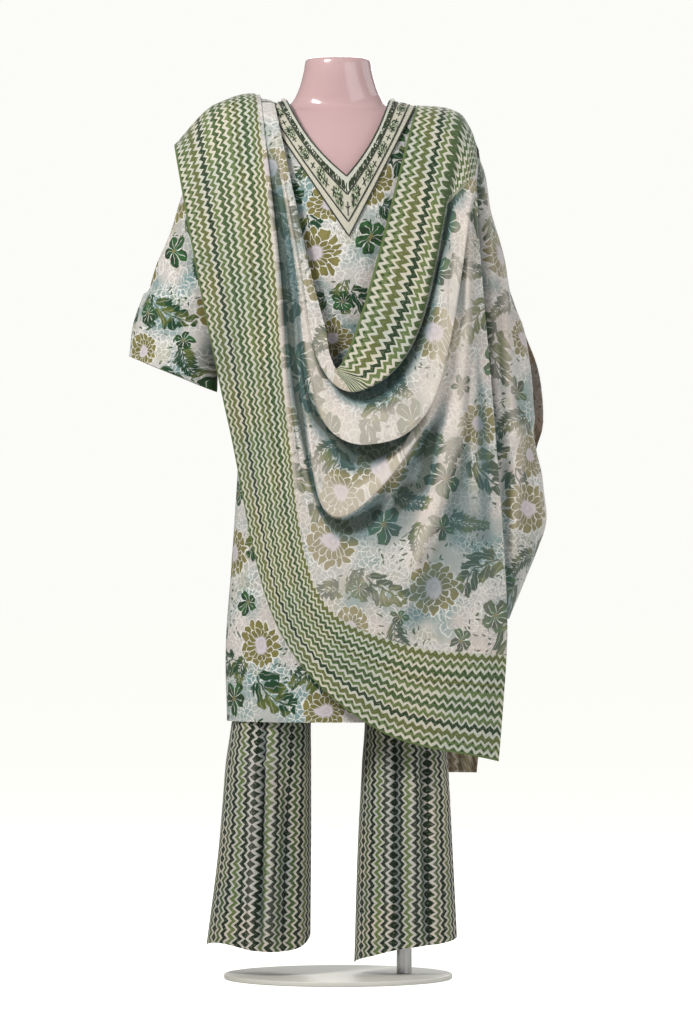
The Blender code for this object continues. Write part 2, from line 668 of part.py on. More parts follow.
def cylinder(name, radius, low, high, x, colour, roughness, metallic, bevel=0.0):
    mesh = bpy.data.meshes.new(name)
    shape = bmesh.new()
    bmesh.ops.create_cone(
        shape, cap_ends=True, segments=RIM_SEGMENTS, radius1=radius, radius2=radius, depth=high - low
    )
    bmesh.ops.translate(shape, verts=shape.verts, vec=(x, 0, (low + high) / 2))
    shape.to_mesh(mesh)
    shape.free()
    piece = place(name, mesh, colour, roughness, metallic)
    if bevel:
        rounded = piece.modifiers.new("Rounded", "BEVEL")
        rounded.width = bevel
        rounded.segments = 2
        rounded.limit_method = "ANGLE"
    return piece


def add_form():
    skin = (0.62, 0.40, 0.40)
    around = 32
    rings = [
        ring(wide, front, back, z, around)
        for z, wide, front, back in zip(*(FORM[c] for c in ("z", "wide", "front", "back")))
    ]
    mesh = lofted("form_torso", np.array(rings), closed=True, caps=True)
    faced_outwards(mesh, upright_axis())
    place("form_torso", mesh, skin, 0.2)
    steel = (0.75, 0.75, 0.76)
    gap = STAND_GAP
    socket_low = FORM_BOTTOM - gap - SOCKET_TALL
    cylinder("pole_socket", SOCKET_RADIUS, socket_low, FORM_BOTTOM - gap, POLE_X, steel, 0.3, 1.0, 0.002)
    cylinder("form_pole", POLE_RADIUS, BASE_THICK + gap, socket_low - gap, POLE_X, steel, 0.25, 1.0)
    cylinder("form_base", BASE_RADIUS, 0.0, BASE_THICK, 0.0, (0.8, 0.8, 0.78), 0.35, 0.0, 0.002)


def main():
    for thing in list(bpy.data.objects):
        bpy.data.objects.remove(thing)
    group = bpy.data.collections.new("kurta_set")
    bpy.context.scene.collection.children.link(group)
    add_form()
    add_trousers()
    add_kurta()
    add_dupatta()


main()
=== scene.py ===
"""The kurta set's looks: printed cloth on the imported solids' forms. Metres, +Z up.

The tables and the functions up to the shading repeat the solids' own, at a finer step.
"""

import math

import bpy
import numpy as np
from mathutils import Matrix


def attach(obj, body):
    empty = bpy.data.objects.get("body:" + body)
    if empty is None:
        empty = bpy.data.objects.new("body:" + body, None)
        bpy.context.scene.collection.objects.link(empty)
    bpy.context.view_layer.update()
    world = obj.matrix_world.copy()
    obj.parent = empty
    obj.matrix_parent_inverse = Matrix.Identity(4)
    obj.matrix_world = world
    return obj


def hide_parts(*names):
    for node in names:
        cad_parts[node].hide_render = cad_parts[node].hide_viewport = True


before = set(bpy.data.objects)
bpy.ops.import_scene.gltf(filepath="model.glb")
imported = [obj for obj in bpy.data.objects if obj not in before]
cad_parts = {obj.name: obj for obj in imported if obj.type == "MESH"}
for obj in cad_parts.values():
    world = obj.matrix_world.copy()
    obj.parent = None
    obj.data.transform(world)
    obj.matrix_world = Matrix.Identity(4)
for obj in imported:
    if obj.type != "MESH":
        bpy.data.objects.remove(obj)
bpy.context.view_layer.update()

# Cloth
WALL = 0.0012  # thickness of every cloth wall
SEAM = 0.0004  # gap between neighbours that are sewn together
BAND_LIFT = WALL + 0.0010  # how far the neck border lies off the front's base surface

# Kurta
UNDERARM = 1.170
HEM = 0.430
SHOULDER_TIP = 0.195
NECK_WIDE = 0.084  # half the neck opening at the shoulder seam
NECK_DROP_BACK = 1.436
NECK_ROUND_BACK = 2.5  # how square the back neck's curve is
SHOULDER_SEAM = 0.28  # share of a panel's width that one shoulder seam takes
V_POINT = (0.014, 1.329)
BAND_POINT = (0.018, 1.229)
NECK_BOW = 0.34  # how much the V's edges sag from straight lines
BAND_WIDE = 0.128  # half-width of the neck border at the shoulder seam
BAND_CROWDING = 2.2  # how much the border's rows crowd towards the shoulder seam
BAND_INSET = 0.0006  # the border's inner edge lies this far outside the front's neck edge
BAND_POINT_INSET = 0.002  # and this far above its lowest point
BINDING_ROWS = (0.0004, 0.006, 0.012)  # how far each row of the back binding lies below the neck edge
ARCH = 3.0  # how square the shoulders' section is: 2 is an ellipse
ARMHOLE_DEPTH = 0.50  # depth at the armhole's edge, as a share of the chest's
SLIT_TOP = 0.740
SLIT_OPEN = 0.006  # half the side slit's opening at the hem

# Trousers
CROTCH = 0.700
HIP_FULL = 0.800  # above this the two legs make one hip section
WAIST = 0.998
LEG_APART = WALL + 2 * SEAM  # from the middle to a leg's inner edge at the crotch
LEG_MIDDLE = 0.080
WAISTBAND_TALL = 0.032
WAISTBAND_WALL = 0.0020
WAISTBAND_GAP = 0.0007
HEM_SHAPED_TO = 0.300  # the hem's slope fades out up to this height
CREASE_DEEP = 0.045  # depth of the legs' upright creases, as a share of the leg's
CREASE_WAVES = 7
CREASE_FADE = (0.42, 0.75)  # heights between which the creases die out

# Dress form and stand
BASE_RADIUS = 0.190
BASE_THICK = 0.008
POLE_RADIUS = 0.0125
POLE_X = 0.110  # the pole stands inside one trouser leg
FORM_BOTTOM = 0.815
SOCKET_TALL = 0.030
SOCKET_RADIUS = 0.030
STAND_GAP = 0.0003

LEFT, RIGHT = -1, 1  # the viewer's

# Dupatta
TAIL_TOPS = {LEFT: (-0.136, -0.272), RIGHT: (0.131, 0.234)}
TAIL_DEEP = 0.142
TAIL_REACH = 0.370
TAIL_PLEATS = {LEFT: 4, RIGHT: 5}
PLEAT_DEEP = 0.006
PLEAT_FADE = (1.25, 1.44)  # heights between which the pleats die out
FOLD_FADE = 0.05  # half the length over which a soft fold's ends die out
TOP_LEAST = 0.03  # least height from the underarm to the dupatta's line, past its ends
EDGE_LEAST = 0.02  # least squared depth share at the dupatta's sides
ARM_MIDDLE = 0.220
FRONT_STATIONS = "abcdef"
PER_FOLD = 16  # rows of the grid for each fold line of the draped front
BORDER_RUNS_UNDER = 0.30  # how fast the upper border slips under the cowl's left side
DIAGONAL = ((0.175, 1.280), (0.227, 1.333))  # where the border's second part ends at the right shoulder

# Details of the neck border and the legs
BAND_STEPS = 120  # columns on each side of the border's point
BAND_LINES = (0.015, 0.31, 0.75, 0.985)  # where its cords lie, from its inner edge to its outer
BAND_ACROSS = 0.048  # its width, for stitches
CROSSES = 16  # crosses on each side of its point
LOOPS = 27
STITCH = 0.0054  # half a cross's length
LEG_FOLD_SCALE = 1.5
TURN = 2 * math.pi


def table(columns, rows, scale=1000):
    """Named columns, as arrays. Lengths in the rows are in millimetres."""
    return dict(zip(columns.split(), np.array(rows, float).T / scale))


# Half-widths and depths of the kurta's body at each height
BODY = table("z wide front back", [
    (430, 184, 116, 124), (550, 186, 122, 130), (700, 176, 121, 132), (800, 169, 116, 127),
    (950, 161, 110, 110), (1050, 162, 114, 104), (1170, 172, 128, 106),
])
# Height of the kurta's shoulder line at each distance from the middle
SHOULDER = table("x z", [
    (0, 1462), (84, 1458), (130, 1449), (165, 1440), (195, 1422),
])
# Rings of the dress form
FORM = table("z wide front back", [
    (815, 138, 84, 94), (822, 148, 94, 104), (860, 148, 95, 104), (930, 134, 90, 92), (1000, 123, 86, 82),
    (1060, 127, 90, 82), (1120, 138, 100, 88), (1180, 150, 116, 94), (1240, 156, 120, 96),
    (1300, 161, 117, 94), (1350, 164, 107, 87), (1388, 163, 96, 77), (1417, 150, 82, 64),
    (1438.2, 124, 63, 52), (1450, 94, 49, 47), (1460.2, 77, 46, 45), (1480, 66, 47, 45),
    (1508, 58, 49, 47), (1526, 55, 48, 46), (1531, 52, 45, 43), (1533, 47, 40, 38),
])
# The two edges of each sleeve seen from the front, from the shoulder to the hem
SLEEVES = {
    LEFT: table("outer_x outer_z inner_x inner_z deep", [
        (235, 1380, 180, 1150, 62), (262, 1297, 186, 1112, 60), (300, 1190, 193, 1062, 57),
        (332, 1105, 199, 1018, 56), (350, 1037, 203, 977, 56),
    ]),
    RIGHT: table("outer_x outer_z inner_x inner_z deep", [
        (221.4, 1372.4, 177, 1150, 56), (236, 1297, 177, 1112, 53), (262, 1190, 175, 1062, 51),
        (284, 1105, 173, 1020, 50), (300, 1045, 172, 985, 50),
    ]),
}
# Each trouser leg's edges and depth at each height
LEGS = {
    LEFT: table("z outer inner deep", [
        (57, 218, 47, 74), (207, 199, 46, 72), (360, 186, 46, 74), (450, 173, 45, 80), (600, 163, 28, 80),
        (700, 161, 2, 82), (800, 158, 2, 88),
    ]),
    RIGHT: table("z outer inner deep", [
        (57, 197, 28, 74), (207, 190, 33, 72), (360, 182, 41, 74), (450, 173, 45, 80), (600, 163, 28, 80),
        (700, 161, 2, 82), (800, 158, 2, 88),
    ]),
}
# Hem heights of the legs, from the outer edge to the inner one
HEMS = {LEFT: (0.057, 0.062, 0.050, 0.052, 0.076), RIGHT: (0.070, 0.062, 0.055, 0.040, 0.027)}
# The trousers' hips and waist
HIPS = table("z wide front back", [
    (700, 161, 98, 112), (800, 158, 102, 114), (900, 147, 99, 106), (998, 125.8, 88.8, 84.8),
])
# Height of the dupatta's line over the shoulders at each x
DRAPE_TOP = table("x z", [
    (-300, 1350), (-285, 1374), (-258, 1400), (-225, 1440), (-205, 1449), (-170, 1462), (-145, 1468),
    (-125, 1460), (-105, 1458), (0, 1462), (100, 1458.5), (130, 1451.7), (170, 1448), (203, 1437),
    (220, 1411), (234, 1378), (243, 1340), (300, 1230),
])
# Reach of the dupatta's base surface in front of the body at each height
DRAPE = table("z left right front", [
    (340, 200, 330, 142), (600, 190, 330, 142), (800, 190, 330, 142), (950, 215, 330, 142),
    (1170, 285, 325, 143), (1300, 315, 312, 142), (1480, 325, 300, 140),
])
# The draped front: a row for each fold line, from the lower long edge to the upper one. Each runs
# from the left shoulder (a) down and round to the right (f), with its lift off the base surface.
FRONT = table("a_x a_z b_x b_z c_x c_z d_x d_z e_x e_z f_x f_z la lb lc ld le lf", [
    (-272, 1386, -232, 1170, -180, 920, -100, 590, 60, 422, 265, 365, 2, 3, 3, 3, 3, 3),
    (-200, 1451, -167, 1180, -131, 925, -70, 620, 80, 492, 272, 452, 6, 9, 8, 8, 7, 5),
    (-136, 1466, -104, 1190, -83, 930, -35, 650, 100, 562, 278, 540, 6, 12, 12, 11, 8, 5),
    (-132, 1464, -98, 1190, -72, 935, -12, 722, 118, 645, 279, 610, 5, 6, 10, 11, 7, 4),
    (-129, 1462, -91, 1190, -66, 940, -8, 742, 140, 745, 272, 740, 4, 2, 4, 6, 6, 4),
    (-126, 1461, -85, 1190, -60, 945, -6, 764, 145, 845, 255, 960, 4, 1, 3, 5, 6, 4),
    (-123, 1459, -81, 1190, -53, 947, -4, 782, 130, 912, 235, 1190, 4, 2, 6, 24, 18, 5),
    (-120, 1458, -76, 1190, -46, 957, 36, 880, 146, 952, 229, 1300, 4, 4, 5, 8, 6, 5),
    (-117, 1457, -71, 1190, -38, 965, 50, 902, 160, 985, 230, 1350, 4, 5, 10, 32, 22, 8),
    (-114, 1457, -65, 1190, -31, 1015, 42, 970, 136, 1068, 222, 1400, 4, 8, 7, 12, 7, 6),
    (-111, 1456.5, -59, 1190, -30, 1030, 36, 984, 125, 1085, 195, 1439, 3, 10, 12, 29, 18, 4),
    (-107, 1458, -50, 1193, -22, 1085, -2, 1012, 45, 1125, 131, 1451.6, 1, 6, 9, 22, 13, 1),
])
# Soft folds: a line from (x0, z0) to (x1, z1), its height and half-width
FRONT_FOLDS = table("x0 z0 x1 z1 high wide", [
    (210, 960, 135, 690, 8, 16), (215, 1240, 226, 800, 5, 10), (195, 1280, 190, 1060, 4, 8),
    (250, 700, 236, 400, 4, 14), (-190, 1300, -140, 950, 3, 12), (-150, 1350, -110, 900, 3, 10),
    (20, 560, 130, 440, 4, 14),
])
KURTA_FRONT_FOLDS = table("x0 z0 x1 z1 high wide", [
    (-104, 432, -100, 560, 5, 12), (-150, 440, -128, 640, 3, 14), (-40, 440, -46, 560, 3, 12),
    (-168, 600, -140, 760, 3, 10), (60, 440, 66, 600, 3, 14),
])
KURTA_BACK_FOLDS = table("x0 z0 x1 z1 high wide", [
    (-10, 440, 4, 900, 6, 16), (50, 440, 38, 700, 5, 14), (-80, 440, -66, 660, 6, 16),
    (-130, 440, -120, 600, 4, 14),
])
LEG_FOLDS = {
    LEFT: table("x0 z0 x1 z1 high wide", [
        (-128, 60, -124, 420, -7, 7), (-116, 60, -112, 400, 4.5, 8), (-145, 60, -140, 380, 4, 9),
        (-88, 60, -84, 300, -4, 9), (-170, 345, -110, 362, 3.5, 6), (-165, 374, -100, 352, 3, 5.5),
        (-150, 250, -100, 268, 1.5, 9),
    ]),
    RIGHT: table("x0 z0 x1 z1 high wide", [
        (98, 60, 94, 400, -6, 7), (86, 60, 83, 400, 4, 8), (150, 60, 140, 380, -5.5, 7),
        (162, 60, 152, 360, 4, 8), (124, 60, 120, 340, 3, 9), (185, 300, 140, 322, 3, 6),
        (180, 270, 150, 262, 2, 7),
    ]),
}
ARM_FOLDS = table("x0 z0 x1 z1 high wide", [
    (236, 1330, 262, 980, 9, 8), (262, 1200, 292, 880, 9, 9), (298, 1130, 318, 960, 6, 7),
    (300, 900, 288, 680, 8, 9), (262, 860, 270, 620, 7, 7), (330, 880, 336, 760, 5, 7),
    (318, 930, 262, 860, 5, 9), (240, 1060, 270, 930, 6, 8),
])
# Folds of the dupatta's field that are sharp on one side, with the half-width of that side
FIELD_EDGES = table("x0 z0 x1 z1 high wide sharp", [
    (215, 1260, 217, 1060, 7.5, 16, 3), (217, 1100, 200, 880, 10, 20, 3), (203, 920, 158, 745, 11, 22, 3),
    (165, 775, 128, 680, 7.5, 20, 3.5), (180, 1200, 176, 1030, 4, 12, 3), (60, 700, 44, 655, 3, 10, 4),
    (45, 643, 137, 625, 2.5, 8, 2.5), (110, 880, 70, 740, 4, 14, 6),
])
# Crisp folds along the drape's own rows: the row, the stations between which it runs, its height
# in millimetres, its half-width in rows, and how far its lip hangs down in millimetres
ROW_FOLDS = table("row start end high wide drop", [
    (0.7, 0.2, 2.6, 2, 0.16, 0), (1.5, 0.3, 3.2, 2.5, 0.18, 0), (2.05, 0.6, 2.6, 3, 0.16, 0),
    (2.6, 0.8, 2.6, -4, 0.2, 0), (4.6, 0.6, 2.4, -2, 0.6, 0), (5.55, 2.3, 4.4, -7, 0.3, 0),
    (6.02, 2.2, 4.5, 7, 0.16, 12), (7.45, 2.2, 4.7, -10, 0.36, 0), (8.02, 2.1, 4.7, 8, 0.16, 14),
    (9.4, 2, 4.8, -9, 0.3, 0), (10, 2, 4.9, 4, 0.18, 7), (8.6, 0.5, 2.3, 4, 0.35, 0),
    (9.35, 0.5, 2.3, -5, 0.2, 0), (10.6, 0.6, 4.6, 1.5, 0.15, 0),
], scale=1)
# Painted shade and painted light on stretches of the drape beside the cowl: darker where shade falls in
#  the recess beside the band, in the gap under the border and under the fold lips, paler on the lit
#  strip. Rows and stations between which they run, how softly, and how much
SHADE_AND_LIGHT_STRETCHES = table("low high start end soft tone", [
    (2.5, 7.9, 0.4, 2.25, 0.3, -0.42), (8.2, 9.5, 0.4, 2.3, 0.2, 0.34),
    (9.35, 9.85, 2.2, 2.9, 0.12, -0.9), (6.9, 7.7, 2.6, 4.2, 0.2, -0.25),
    (4.6, 5.6, 2.6, 4.2, 0.2, -0.15),
], scale=1)
# Sections of the dupatta round the right arm, from its front start past its outer edge to the back
ARM_FALL = table("z start_x start_y out back_x back_y", [
    (1366, 212, -33.2, 233.8, 212, 33.2), (1335, 214, -52, 243, 210, 52), (1285, 217, -62, 251, 205, 64),
    (1243, 219, -65, 264, 200, 72), (1193, 222, -66, 277, 192, 80), (1145, 226, -66, 285, 186, 86),
    (1080, 232, -66, 303, 182, 90), (1000, 240, -66, 318, 182, 94), (940, 246, -66, 324, 185, 94),
    (880, 251, -66, 327, 190, 92), (820, 255, -66, 338, 200, 90), (768, 259, -65, 346, 210, 85),
    (720, 262, -63, 333, 220, 78), (670, 266, -60, 313, 235, 70), (622, 270, -56, 293, 250, 58),
    (600, 273, -52, 284, 262, 48),
])
# Edges of the two ends that hang down the back
TAILS = {
    LEFT: table("z inner outer", [
        (1300, -114, -250), (1150, -85, -214), (950, -52, -162), (800, -40, -149), (700, -34, -147),
    ]),
    RIGHT: table("z inner outer", [
        (1300, 104, 251), (1180, 78, 279), (1080, 66, 312), (1010, 62, 336), (930, 62, 343),
        (880, 65, 331), (760, 74, 300), (600, 92, 268), (460, 112, 246), (338, 130, 233),
    ]),
}


def spline(values, at):
    """Catmull-Rom curve through the rows of values, one apart, read at the numbers in at."""
    values = np.asarray(values, float)
    at = np.asarray(at, float)
    first = np.clip(np.floor(at).astype(int), 0, len(values) - 2)
    part = (at - first).reshape(at.shape + (1,) * (values.ndim - 1))
    ends = np.concatenate([[2 * values[0] - values[1]], values, [2 * values[-1] - values[-2]]])
    p0, p1, p2, p3 = (ends[first + i] for i in range(4))
    return p1 + 0.5 * part * (
        p2 - p0 + part * (2 * p0 - 5 * p1 + 4 * p2 - p3 + part * (3 * (p1 - p2) + p3 - p0))
    )


def read(rows, column, at, key="z"):
    """A table's column at a value of its key, as a smooth curve."""
    return spline(rows[column], np.interp(at, rows[key], np.arange(len(rows[key]))))


def stations(rows, count):
    """All of a table's columns at evenly spaced places from its first row to its last."""
    columns = list(rows.values())
    at = np.linspace(0, len(columns[0]) - 1, count)[:, None]
    return [spline(column, at) for column in columns]


def resampled(grid, rows, columns):
    """A grid read at row and column numbers."""
    return np.swapaxes(spline(np.swapaxes(spline(grid, rows), 0, 1), columns), 0, 1)


def eased(low, high, at):
    part = np.clip((np.asarray(at, float) - low) / (high - low), 0, 1)
    return part * part * (3 - 2 * part)


def between(at, low, high, soft):
    """1 between low and high and 0 beyond them, with soft steps."""
    return eased(low - soft, low + soft, at) * (1 - eased(high - soft, high + soft, at))


def arch(height):
    """Depth left at a share of the way from the underarm to the shoulder line."""
    return (1 - np.clip(height, 0, 1) ** ARCH) ** (1 / ARCH)


def shoulder_line(x):
    return read(SHOULDER, "z", np.abs(x), "x")


def armhole_x(z):
    """Distance of the armhole's edge from the middle at a height."""
    part = (z - UNDERARM) / (SHOULDER["z"][-1] - UNDERARM)
    return BODY["wide"][-1] + (SHOULDER_TIP - BODY["wide"][-1]) * np.clip(part, 0, 1)


def yoke_depth(x, z, full):
    """Depth of the kurta above the underarm, for a chest or a back that is full deep."""
    height = (z - UNDERARM) / (shoulder_line(x) - UNDERARM)
    edge = ARMHOLE_DEPTH * eased(UNDERARM, UNDERARM + 0.1, z)
    across = np.clip(np.abs(x) / armhole_x(z), 0, 1)
    return full * arch(height) * np.sqrt(1 - across**2 * (1 - edge**2))


def rising(count):
    """Shares from 0 to 1 that crowd towards 1, where a shoulder rounds over."""
    return 1 - (1 - np.linspace(0, 1, count)) ** 2.0


def stack(x, y, z):
    return np.stack(np.broadcast_arrays(x, y, z), axis=-1)


def grid_normals(points, centres=None, closed=False):
    """Unit normals of a grid of points, away from the centres or the upright axis."""
    centres = points * (0, 0, 1) if centres is None else centres
    wide = np.concatenate([points[:, -1:], points, points[:, :1]], axis=1) if closed else points
    across = np.gradient(wide, axis=1)
    if closed:
        across = across[:, 1:-1]
    normals = np.cross(np.gradient(points, axis=0), across)
    normals /= np.maximum(np.linalg.norm(normals, axis=-1, keepdims=True), 1e-12)
    facing = 1.0 if np.sum(normals * (points - centres)) >= 0 else -1.0
    return normals * facing, facing


def body_panel(front, across=110, low_rows=80, high_rows=70):
    """The kurta's front or back: a grid from the hem to the shoulder seams and the neck."""
    share = np.linspace(0, 1, across + 1)
    bend = np.sin((share - 0.5) * math.pi)
    side, column = (-1, "front") if front else (1, "back")
    z = np.linspace(HEM, UNDERARM, low_rows + 1)[:, None]
    slit = SLIT_OPEN * (1 - eased(HEM, SLIT_TOP, z)) * np.abs(bend) ** 8
    y = SEAM / 2 + slit + read(BODY, column, z) * np.cos((share - 0.5) * math.pi)
    low = stack(read(BODY, "wide", z) * bend, side * y, z)
    top_x, top_z = neck_edge(share, front)
    part = rising(high_rows + 1)[1:, None]
    x = BODY["wide"][-1] * bend * (1 - part) + top_x * part
    z = UNDERARM + (top_z - UNDERARM) * part
    high = stack(x, side * (SEAM / 2 + yoke_depth(x, z, BODY[column][-1])), z)
    return np.concatenate([low, high])


def neck_edge(share, front):
    """The panel's top edge: a shoulder seam, the neck, and the other shoulder seam."""
    middle = V_POINT[0] if front else 0.0
    off, side = np.abs(share - 0.5), np.sign(share - 0.5)
    rise = 1 - (1 - np.minimum(off / (0.5 - SHOULDER_SEAM), 1)) ** 2
    inside = rise < 1
    out = np.interp(off, [0.5 - SHOULDER_SEAM, 0.5], [NECK_WIDE, SHOULDER_TIP])
    x = np.where(inside, middle + (side * NECK_WIDE - middle) * rise, side * out)
    top = shoulder_line(NECK_WIDE)
    if front:
        neck = V_POINT[1] + (top - V_POINT[1]) * sagged(rise, NECK_BOW)
    else:
        neck = NECK_DROP_BACK + (top - NECK_DROP_BACK) * (np.abs(x) / NECK_WIDE) ** NECK_ROUND_BACK
    return x, np.where(inside, neck, shoulder_line(x))


def sagged(rise, bow):
    """A rise from 0 to 1 that starts less steeply than it ends."""
    return rise * (1 - bow * (1 - rise**2))


def neck_band_points(across=40, down=BAND_STEPS):
    """The V border: one strip from a shoulder seam to the point and up to the other seam."""
    part = np.linspace(0, 1, across + 1)[:, None]
    falls = np.linspace(-1, 1, 2 * down + 1)
    point_x = V_POINT[0] + (BAND_POINT[0] - V_POINT[0]) * part
    top = V_POINT[1] + BAND_POINT_INSET
    point_z = top + (BAND_POINT[1] - top) * part
    wide = NECK_WIDE + BAND_INSET + (BAND_WIDE - NECK_WIDE) * part
    rise = 1 - (1 - np.abs(falls)) ** BAND_CROWDING
    x = point_x + (np.where(falls < 0, -wide, wide) - point_x) * rise
    z = point_z + (shoulder_line(wide) - point_z) * sagged(rise, NECK_BOW * (1 - part))
    z = np.minimum(z, shoulder_line(x))
    points = stack(x, -SEAM / 2 - yoke_depth(x, z, BODY["front"][-1]), z)
    return points + BAND_LIFT * grid_normals(points)[0]


def neck_binding_points(across=60):
    """The narrow binding on the back neck's edge."""
    x, z = neck_edge(np.linspace(0.30, 0.70, across + 1), False)
    z = z - np.array(BINDING_ROWS)[:, None]
    points = stack(x, SEAM / 2 + yoke_depth(x, z, BODY["back"][-1]), z)
    return points + (BAND_LIFT + SEAM) * grid_normals(points)[0]


def sleeve_points(side, around=96, rows=60):
    """Rings from the armhole to the hem. Each runs from the outer edge over the front."""
    turn = np.linspace(0, TURN, around, endpoint=False)
    tip = shoulder_line(SHOULDER_TIP)
    z = (tip + UNDERARM) / 2 + (tip - UNDERARM) / 2 * np.cos(turn)
    edge = armhole_x(z)
    full = np.where(np.sin(turn) >= 0, BODY["front"][-1], BODY["back"][-1])
    deep = yoke_depth(edge, z, full)
    armhole = stack(side * (edge + WALL + SEAM), -deep * np.sign(np.sin(turn)), z)
    outer_x, outer_z, inner_x, inner_z, depth = stations(SLEEVES[side], rows)
    x = (outer_x + inner_x) / 2 + (outer_x - inner_x) / 2 * np.cos(turn)
    z = (outer_z + inner_z) / 2 + (outer_z - inner_z) / 2 * np.cos(turn)
    return np.concatenate([armhole[None], stack(side * x, -depth * np.sin(turn), z)])


def leg_panel(side, front, across=72, low_rows=90, high_rows=16):
    """One leg's front or back panel, from the hem to the waist."""
    share = np.linspace(0, 1, across + 1)
    turn, quarter = (share - 0.5) * math.pi, share * math.pi / 2
    legs, face = LEGS[side], -1 if front else 1
    foot, top = legs["z"][[0, -1]]
    z = np.concatenate([
        np.linspace(foot, CROTCH, low_rows), np.linspace(CROTCH, HIP_FULL, high_rows)[1:],
        np.linspace(HIP_FULL, WAIST, high_rows)[1:],
    ])[:, None]
    outer, inner, deep = (read(legs, c, np.minimum(z, top)) for c in ("outer", "inner", "deep"))
    inner = np.maximum(inner, LEG_APART)
    apart = SEAM / 2 + WALL * (1 - eased(HIP_FULL, WAIST, z))
    crease = CREASE_DEEP * (1 - eased(*CREASE_FADE, z)) * np.cos(CREASE_WAVES * turn + side)
    hips = np.maximum(z, CROTCH)
    wide, full = read(HIPS, "wide", hips), read(HIPS, "front" if front else "back", hips)
    blend = eased(CROTCH, HIP_FULL, z)
    leg_x = (outer + inner) / 2 - (outer - inner) / 2 * np.sin(turn)
    x = leg_x * (1 - blend) + (apart + (wide - apart) * np.cos(quarter)) * blend
    y = SEAM / 2 + deep * np.cos(turn) * (1 + crease) * (1 - blend) + full * np.sin(quarter) * blend
    hem = spline(HEMS[side], share * 4)
    return stack(side * x, face * y, z + (hem - foot) * (1 - eased(foot, HEM_SHAPED_TO, z)))


def ring(wide, front, back, z, around):
    turn = np.linspace(0, TURN, around, endpoint=False)
    return stack(wide * np.cos(turn), np.where(np.sin(turn) < 0, front, back) * np.sin(turn), z)


def drape_top(x):
    return read(DRAPE_TOP, "z", x, "x")


def drape_depth(x, z, full, reach):
    """Depth of the dupatta's base surface, and its share of the way to the shoulder line."""
    height = (z - UNDERARM) / np.maximum(drape_top(x) - UNDERARM, TOP_LEAST)
    across = np.sqrt(np.maximum(1 - (x / reach) ** 2, EDGE_LEAST))
    return full * arch(height) * across, np.clip(height, 0, 1)


def fold_heights(x, z, folds, fade=FOLD_FADE):
    """Height of each of a table's folds at places on the cloth."""
    heights = []
    for x0, z0, x1, z1, high, wide, *sharp in zip(*folds.values()):
        length = math.hypot(x1 - x0, z1 - z0)
        along = ((x - x0) * (x1 - x0) + (z - z0) * (z1 - z0)) / length
        off = ((x - x0) * (z1 - z0) - (z - z0) * (x1 - x0)) / length
        reach = np.where(off > 0, wide, sharp[0]) if sharp else wide
        heights.append(high * between(along, 0, length, fade) * np.exp(-((off / reach) ** 2)))
    return heights


def arm_fall(around=72, rows=110):
    """The stretch round the right arm, from behind the front's right edge to the back."""
    turn = np.linspace(-math.pi / 2, math.pi / 2, around + 1)
    z, start_x, start_y, out, back_x, back_y = stations(ARM_FALL, rows + 1)
    inner = np.where(turn < 0, start_x, back_x)
    deep = np.where(turn < 0, -start_y, back_y)
    return stack(inner + (out - inner) * np.cos(turn), deep * np.sin(turn), z)


def tail(side, across=90, low_rows=90, high_rows=30):
    """An end of the dupatta hanging down the back from a shoulder, in soft pleats."""
    share = np.linspace(0, 1, across + 1)
    z, inner, outer = stations(TAILS[side], low_rows + 1)
    x = inner + (outer - inner) * share
    tops = TAIL_TOPS[side]
    top_x = tops[0] + (tops[1] - tops[0]) * share
    part = rising(high_rows + 1)[:0:-1, None]
    above = z[0] + (drape_top(top_x) - z[0]) * part
    z = np.concatenate([above, np.broadcast_to(z, x.shape)])
    x = np.concatenate([x[0] + (top_x - x[0]) * part, x])
    pleat = PLEAT_DEEP * (1 - np.cos(TURN * TAIL_PLEATS[side] * share)) / 2
    depth, _ = drape_depth(x, z, TAIL_DEEP, TAIL_REACH)
    return stack(x, SEAM / 2 + depth + pleat * (1 - eased(*PLEAT_FADE, z)), z)


# Shading


def srgb(red, green, blue):
    """A colour given as on a screen, from 0 to 255, in a shader's linear numbers."""
    shares = np.array([red, green, blue]) / 255
    linear = np.where(shares > 0.04, ((shares + 0.055) / 1.055) ** 2.4, shares / 12.92)
    return (*linear.tolist(), 1.0)


class Number:
    """A number from a material's nodes, which adds and multiplies like a plain one."""

    def __init__(self, shader, socket):
        self.shader, self.socket = shader, socket

    def math(self, operation, *others):
        return self.shader.math(operation, self, *others)

    def __add__(self, other):
        return self.math("ADD", other)

    def __sub__(self, other):
        return self.math("SUBTRACT", other)

    def __rsub__(self, other):
        return self.shader.math("SUBTRACT", other, self)

    def __mul__(self, other):
        return self.math("MULTIPLY", other)

    def __truediv__(self, other):
        return self.math("DIVIDE", other)

    def __abs__(self):
        return self.math("ABSOLUTE")

    __radd__, __rmul__ = __add__, __mul__

    def wave(self, half):
        """A triangle wave from 0 to half and back."""
        return self.math("PINGPONG", half)

    def over(self, edge, soft, low=0.0, high=1.0):
        """1 where the number is over the edge, 0 under it, with a soft step."""
        value = self
        if isinstance(edge, Number):
            value, edge = self - edge, 0.0
        node = self.shader.add("MapRange", value, edge - soft, edge + soft, low, high)
        return Number(self.shader, node.outputs[0])

    def under(self, edge, soft):
        return self.over(edge, soft, 1.0, 0.0)


